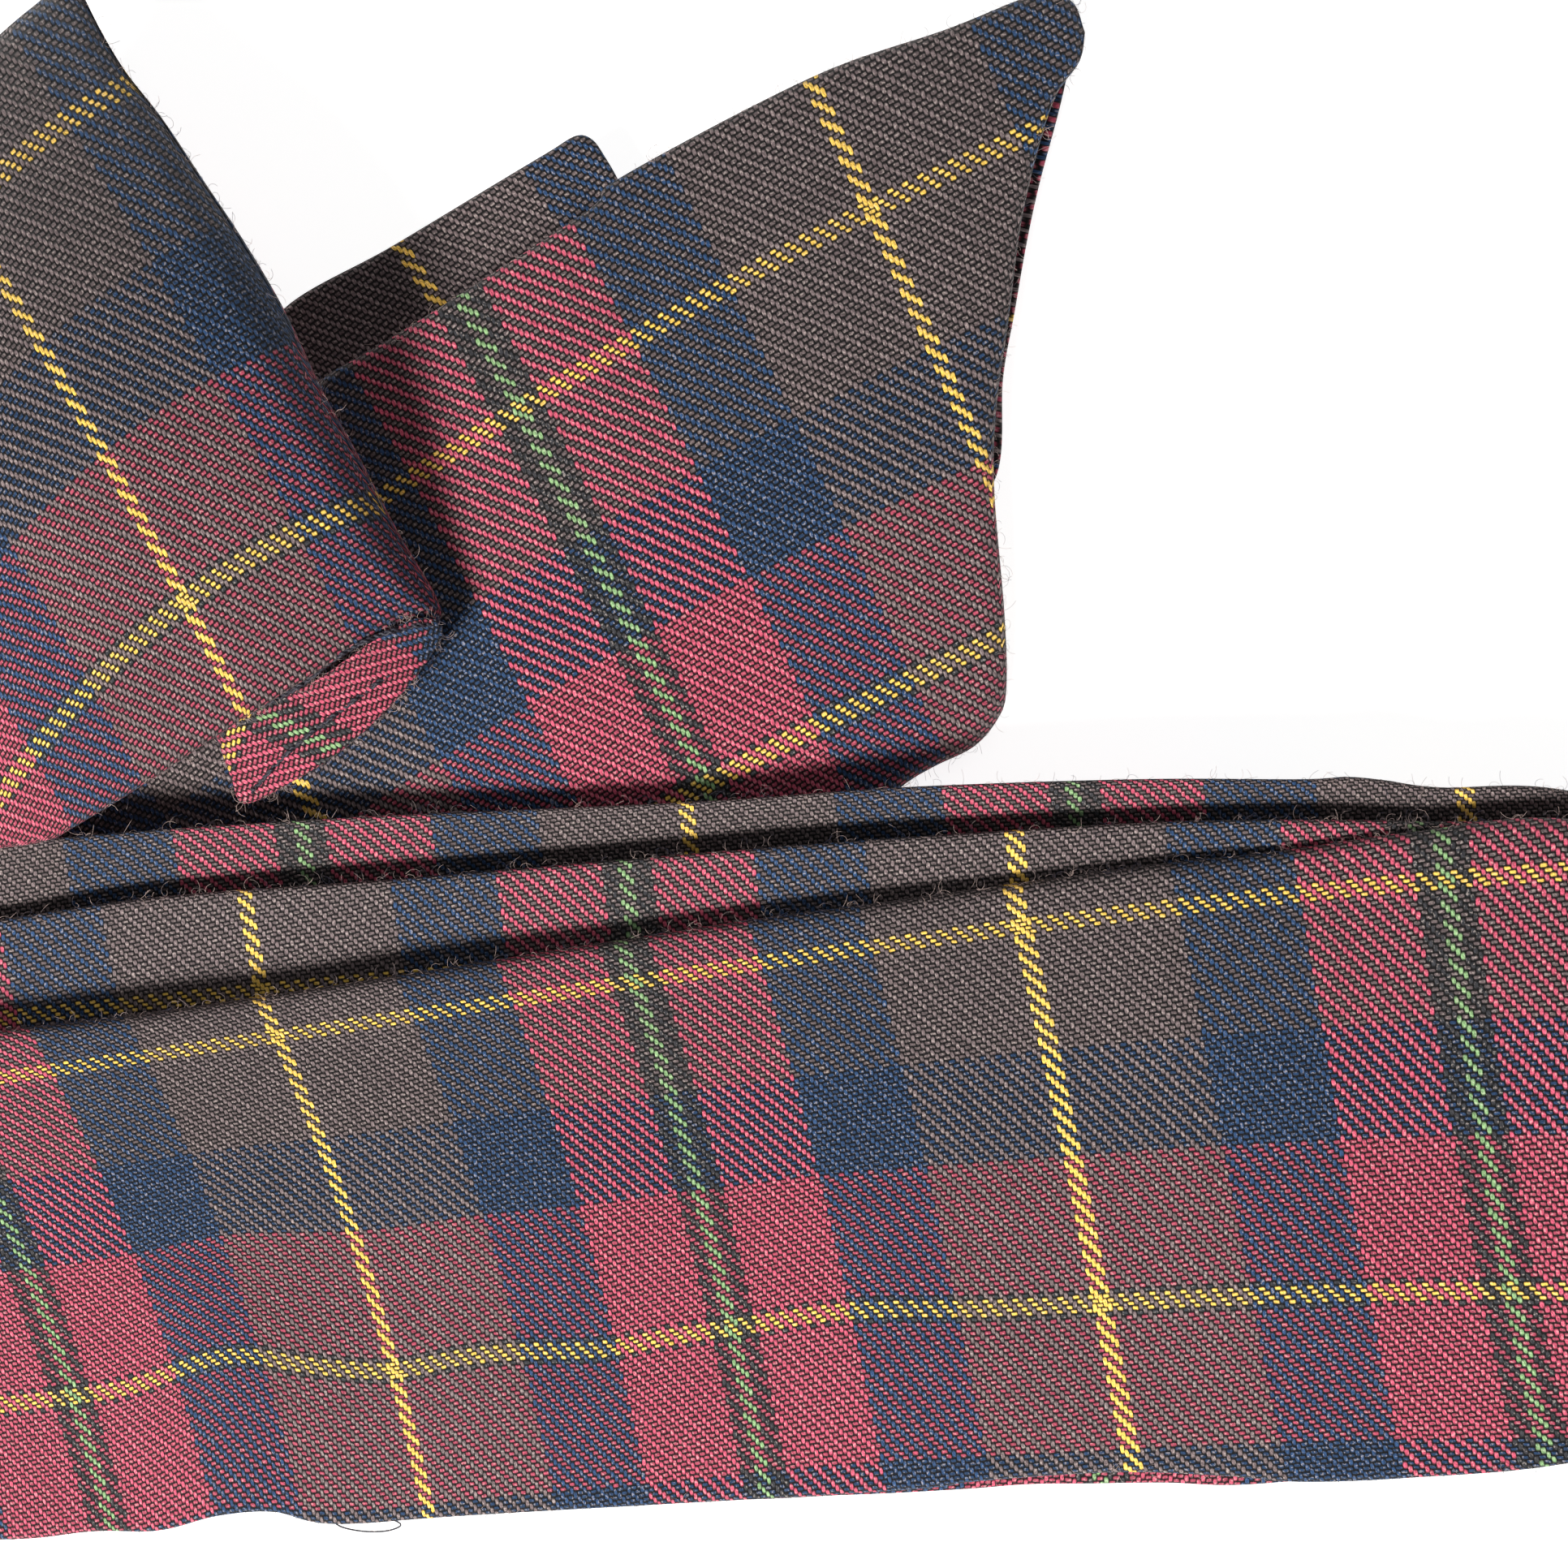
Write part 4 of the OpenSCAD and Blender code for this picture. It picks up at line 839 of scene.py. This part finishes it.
def wound_hemp(pipe):
    g = Graph("waxed_hemp_" + pipe)
    where = lengthwise(g, pipe, (1000, 1000, 1000))
    along = g.add(g.split(where)[0], g.mul(g.noise(where, 0.35, 2.0), 0.5))
    round_ = g.math("ABSOLUTE", g.math("SINE", g.mul(along, math.pi / 0.7)))
    fibre = g.noise(where, 2.4, 3.0, 0.7, stretch=(2.0, 1.0, 1.0))
    colour = g.blend(g.between(fibre, 0.3, 0.7), rgb(150, 116, 62), rgb(214, 184, 120))
    # Painted shade: the hemp darkens in the grooves between its turns.
    colour = g.blend(g.between(round_, 0.0, 0.5, 0.75, 0.0), colour, rgb(70, 50, 28))
    normal = g.bump(g.add(round_, g.mul(fibre, 0.4)), 0.25 * MM, 0.8)
    return g.finish(colour, 0.62, normal)


def marked(pipe, name, marks, span, colours, roughness, depth, strength):
    """A plain surface with streaks, scratches or dust on it.

    marks are the marks' scale along and across the pipe, their detail and roughness, span
    is where they start and end in the noise, and depth is in millimetres.
    """
    g = Graph(name + "_" + pipe)
    along, across, detail, rough = marks
    mark = g.noise(lengthwise(g, pipe, (along, across, across)), 1.0, detail, rough)
    colour = g.blend(g.between(mark, *span), *colours)
    return g.finish(colour, roughness, g.bump(mark, depth * MM, strength))


def hide(pipe):
    g = Graph("bag_leather")
    where = lengthwise(g, pipe, (1, 1, 1))
    cells = g.node("ShaderNodeTexVoronoi")
    g.put(where, cells.inputs["Vector"])
    cells.inputs["Scale"].default_value = 900
    cloud = g.noise(where, 60.0, 5.0, 0.6)
    colour = g.blend(g.between(cloud, 0.35, 0.7), rgb(150, 104, 62), rgb(104, 68, 40))
    normal = g.bump(cells.outputs["Distance"], 0.2 * MM, 0.6)
    return g.finish(colour, g.between(cloud, 0.3, 0.7, 0.4, 0.6), normal)


def zip_cloth(pipe):
    g = Graph("zip_tape")
    where = lengthwise(g, pipe, (1000, 1000, 1000))
    axes = g.split(where)
    rib = g.math("ABSOLUTE", g.math("SINE", g.mul(axes[1], math.pi / 0.8)))
    row = g.math("ABSOLUTE", g.math("SINE", g.mul(axes[2], math.pi / 0.5)))
    fibre = g.noise(where, 2.0, 3.0, 0.7)
    colour = g.blend(g.between(fibre, 0.3, 0.7), rgb(28, 33, 52), rgb(56, 64, 92))
    normal = g.bump(g.add(g.mul(rib, row), g.mul(fibre, 0.4)), 0.2 * MM, 0.8)
    return g.finish(colour, 0.8, normal)


# The function that makes each CAD material slot's material from a pipe's name, and what
# else it takes.
FINISHES = dict(
    blackwood=(blackwood,), imitation_ivory=(ivory,), waxed_hemp=(wound_hemp,),
    bag_leather=(hide,), zip_tape=(zip_cloth,),
    ferrule_metal=(polished_metal, "nickel", rgb(214, 211, 203), rgb(168, 160, 146)),
    staple_brass=(polished_metal, "brass", rgb(226, 190, 104), rgb(160, 122, 62)),
    zip_metal=(polished_metal, "zip_metal", rgb(190, 186, 176), rgb(120, 112, 100)),
    cane=(marked, "cane", (40, 1300, 4.0, 0.6), (0.35, 0.65),
          (rgb(226, 194, 120), rgb(176, 136, 70)), 0.5, 0.04, 0.6),
    reed_tongue=(marked, "reed_tongue", (60, 2400, 3.0, 0.5), (0.4, 0.7),
                 (rgb(228, 224, 206), rgb(200, 194, 170)), 0.42, 0.02, 0.4),
    rubber=(marked, "rubber", (700, 700, 4.0, 0.7), (0.45, 0.75),
            (rgb(34, 33, 33), rgb(66, 63, 60)), 0.7, 0.05, 0.5))


def finish_nodes():
    """Gives every CAD node that stays in view the material of its slot."""
    made = {}
    for part in frame["record"]["subparts"]:
        slot, node = part["material_slot"], part["node"]
        if slot not in FINISHES:
            continue
        key = slot, pipe_of(node)
        if key not in made:
            finish, *rest = FINISHES[slot]
            made[key] = finish(key[1], *rest)
        for place in bpy.data.objects[node].material_slots:
            place.material = made[key]


# ---------------------------------------------------------------- the bag's cover
# The stations of the CAD's bag: x, y, half width, height above the pipes' axes, depth
# below them, and turn in degrees.
STATIONS = np.array([
    [280, -58, 14, 8, 8, 0], [272, -56, 44, 24, 22, 0], [252, -52, 68, 38, 34, 0],
    [230, -46, 80, 46, 42, 0], [170, -18, 108, 58, 46, 0], [90, -4, 122, 64, 46, 0],
    [0, 1, 127, 66, 46, 0], [-70, -8, 118, 62, 46, 0], [-120, -20, 106, 57, 46, 0],
    [-190, -36, 74, 46, 44, 4], [-250, -46, 48, 36, 36, 8], [-310, -56, 32, 28, 28, 12],
    [-355, -66, 26, 25, 25, 15], [-400, -78, 24, 24, 24, 16]], float)
# Where the cover's sett starts along the bag, in millimetres.
COVER_START = 38
# A collar of the same cloth on each stock, drawn in and turned back at its mouth: places
# along the pipe and out from its axis.
COLLAR = np.array([(-82, 22.5), (-70, 23.4), (-60, 23.2), (-54, 22.0), (-50, 19.8),
                   (-48, 19.3), (-46, 20.2), (-43.5, 21.8), (-43, 21.0), (-46, 19.4),
                   (-48, 18.6), (-51, 19.2), (-55, 21.2), (-62, 22.2), (-82, 21.6)])


def grid_faces(rows, columns):
    """Faces of a grid whose rows are closed, as a tube's are."""
    faces = []
    for i in range(rows - 1):
        for j in range(columns):
            a, b = i * columns + j, i * columns + (j + 1) % columns
            faces.append((a, b, b + columns, a + columns))
    return faces


def ring_faces(rows, columns, start=0):
    """Faces of a grid that is closed both ways, as a ring's is."""
    faces = []
    for i in range(rows):
        here, there = start + i * columns, start + (i + 1) % rows * columns
        for j in range(columns):
            after = (j + 1) % columns
            faces.append((here + j, here + after, there + after, there + j))
    return faces


def puckers(points):
    """Folds that run out over the bag from each stock, as a share from -1 to 1."""
    total = np.zeros(len(points))
    for x, y, degrees in PIPES.values():
        way = math.radians(degrees)
        across = (points[:, 1] - y) * math.cos(way) - (points[:, 0] - x) * math.sin(way)
        along = (points[:, 0] - x) * math.cos(way) + (points[:, 1] - y) * math.sin(way)
        up = points[:, 2] - AXIS_LEVEL
        out = np.hypot(across, up)
        near = np.exp(-np.maximum(out - 22, 0) / 20) * np.exp(-np.abs(along) / 45)
        total += near * np.sin(11 * np.arctan2(up, across) + out / 9)
    return total


def sewing_thread():
    g = Graph("sewing_thread")
    where = g.node("ShaderNodeTexCoord").outputs["Object"]
    fibre = g.noise(where, 6000, 2.0)
    colour = g.blend(g.between(fibre, 0.35, 0.65), rgb(22, 22, 30), rgb(62, 60, 72))
    return g.finish(colour, 0.6, g.bump(fibre, 0.03 * MM))


def loose_fibre():
    g = Graph("loose_fibre")
    where = g.node("ShaderNodeTexCoord").outputs["Object"]
    tint = g.noise(where, 420, 2.0)
    colour = g.blend(g.between(tint, 0.42, 0.58), rgb(46, 44, 62), rgb(196, 172, 164))
    return g.finish(colour, 0.7)


def make_cover(cloth):
    """The clothed bag: a loft on its flat side, with a collar on each stock.

    The loft is one closed skin. It has no openings where the stocks pass through it.
    """
    rings = spline(np.array([STATIONS[0], *STATIONS, STATIONS[-1]]), 14)
    around = 150
    turn = math.pi - 2 * math.pi * np.arange(around) / around
    half = rings[:, 2, None] * np.cos(turn)
    up = np.where(np.sin(turn) > 0, rings[:, 3, None], rings[:, 4, None]) * np.sin(turn)
    way = np.radians(rings[:, 5, None])
    grid = np.stack([rings[:, 0, None] - half * np.sin(way),
                     rings[:, 1, None] + half * np.cos(way), AXIS_LEVEL + up], axis=-1)
    grid[..., 2] = np.maximum(grid[..., 2], 0)
    # Threads are counted along the bag's middle line and round its girth.
    spine = np.concatenate([[0], np.cumsum(np.hypot(*np.diff(rings[:, :2], axis=0).T))])
    step = np.linalg.norm(np.diff(grid, axis=1), axis=2)
    girth = np.concatenate([np.zeros((len(rings), 1)), np.cumsum(step, axis=1)], axis=1)
    warp = np.broadcast_to(spine[:, None] + COVER_START, girth.shape)
    flat = grid.reshape(-1, 3)
    centres = np.stack([rings[:, 0], rings[:, 1], np.full(len(rings), AXIS_LEVEL)], 1)
    out = flat - np.repeat(centres, around, axis=0)
    out /= np.maximum(np.linalg.norm(out, axis=1), 1e-6)[:, None]
    # The folds fade out where the bag rests on the floor.
    free = np.clip(flat[:, 2] / 12, 0, 1)
    lift = (1.5 * puckers(flat) + ripple(warp.ravel() * 0.6, girth.ravel(), 1.0, 21)) * free
    flat = flat + out * lift[:, None]
    flat[:, 2] = np.maximum(flat[:, 2], FLOOR_GAP)
    uv = np.stack([warp.ravel(), girth.ravel()], axis=1) / PICK
    faces = grid_faces(len(rings), around)
    points = [*(flat * MM)]
    for ring, flip in [(0, False), (len(rings) - 1, True)]:
        middle = len(points)
        points.append(flat[ring * around:(ring + 1) * around].mean(0) * MM)
        uv = np.vstack([uv, uv[ring * around]])
        for j in range(around):
            face = (middle, ring * around + (j + 1) % around, ring * around + j)
            faces.append(face[::-1] if flip else face)
    drawn = np.interp(COLLAR[:, 0], [-82, -58, -48, -43], [0.1, 0.35, 0.5, 1.0])
    columns = 96
    for pipe in PIPES:
        faces += ring_faces(columns, len(COLLAR), len(points))
        for i in range(columns):
            angle = 2 * math.pi * i / columns
            wave = 0.55 * math.sin(13 * angle) + 0.3 * math.sin(7 * angle + 1)
            points += [pipe_point(pipe, along, out + wave * loose, angle)
                       for (along, out), loose in zip(COLLAR, drawn)]
        uv = np.vstack([uv, [(i * 22 * 2 * math.pi / columns / PICK, along / PICK)
                             for i in range(columns) for along, _ in COLLAR]])
    cover = make_mesh("bag_cover_cloth", points, faces, uv, cloth)
    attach(cover, "root")
    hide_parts("bag_cover")
    return cover


def make_knot(cloth):
    """The ribbon's turn round the bass drone, and the knot beside it, which is a plain lump."""
    inside = 15.0
    profile = []
    for share in np.linspace(0, 1, 60):
        along = 88 + 36 * share
        crown = 2.6 * math.sin(math.pi * share) ** 0.5
        fold = 0.7 * math.sin(share * 34) * math.sin(math.pi * share)
        profile.append((along, 15.8 + crown + fold))
    profile += [(123.5, inside), (88.5, inside)]
    columns = 140
    points, uv = [], []
    for i in range(columns):
        angle = 2 * math.pi * i / columns
        for along, out in profile:
            sway = 0.0 if out == inside else 0.35 * math.sin(3 * angle + along / 4)
            points.append(pipe_point("bass", along, out + sway, angle))
            uv.append((i * 17 * 2 * math.pi / columns / PICK, along * 1.6 / PICK))
    ring = make_mesh("ribbon_turn", points, ring_faces(columns, len(profile)), uv, cloth)
    points, uv = [], []
    rows, columns = 70, 120
    middle = np.array([-28.6, 296.0, AXIS_LEVEL])
    for i in range(rows):
        tilt = math.pi * i / (rows - 1)
        for j in range(columns):
            angle = 2 * math.pi * j / columns
            fold = 1 + 0.06 * math.sin(7 * angle + 5 * math.cos(tilt)) * math.sin(tilt)
            fold += 0.03 * math.sin(12 * tilt + 2 * angle) * math.sin(tilt)
            size = 16.4 * fold
            way = np.array([math.cos(tilt), math.sin(tilt) * math.cos(angle),
                            math.sin(tilt) * math.sin(angle)])
            points.append((middle + size * way) * MM)
            uv.append((size * angle / PICK, size * tilt * 1.3 / PICK))
    knot = make_mesh("ribbon_knot_cloth", points, grid_faces(rows, columns), uv, cloth)
    weld(knot)
    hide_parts("ribbon_knot")
    return [ring, knot]


# Each cloth piece pressed flat as it is folded: its length and width in millimetres, and
# what holds it in shape. Each has cloth on its upper and on its lower side.
FLAT_SIZES = dict(
    ribbon_band_front=(282, 70, "folded"), ribbon_band_middle=(274, 64, "folded"),
    ribbon_band_back=(274, 60, "folded"), ribbon_band_under=(112, 12, "folded"),
    ribbon_wing=(135, 66, "folded"), ribbon_wing_back=(50, 10, "folded"),
    ribbon_wing_under=(52, 19, "folded"), ribbon_end=(110, 58, "folded"),
    ribbon_end_hem=(30, 11, "folded"),
    ribbon_turn=(110, 36, "gathered"), ribbon_knot_cloth=(52, 36, "gathered"))


def make_floor():
    """A wide, pale floor, which glows as a bright backdrop does."""
    bpy.ops.mesh.primitive_plane_add(size=60, location=(0, 0, 0))
    floor = bpy.context.object
    floor.name = "floor"
    g = Graph("floor")
    glow = dict(Emission_Color=(1, 1, 1, 1), Emission_Strength=0.83)
    floor.data.materials.append(g.finish(rgb(205, 205, 203), 0.7, **glow))


make_camera()
make_lights()
make_floor()
finish_nodes()
cloth = tartan("ribbon_tartan")
for piece in make_ribbon(cloth) + make_knot(cloth):
    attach(piece, "root")
    length, width, held = FLAT_SIZES[piece.name]
thread = sewing_thread()
for piece in (make_sewing(thread), make_loose_thread(thread), make_fuzz(loose_fibre())):
    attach(piece, "root")
make_cover(tartan("cover_tartan"))
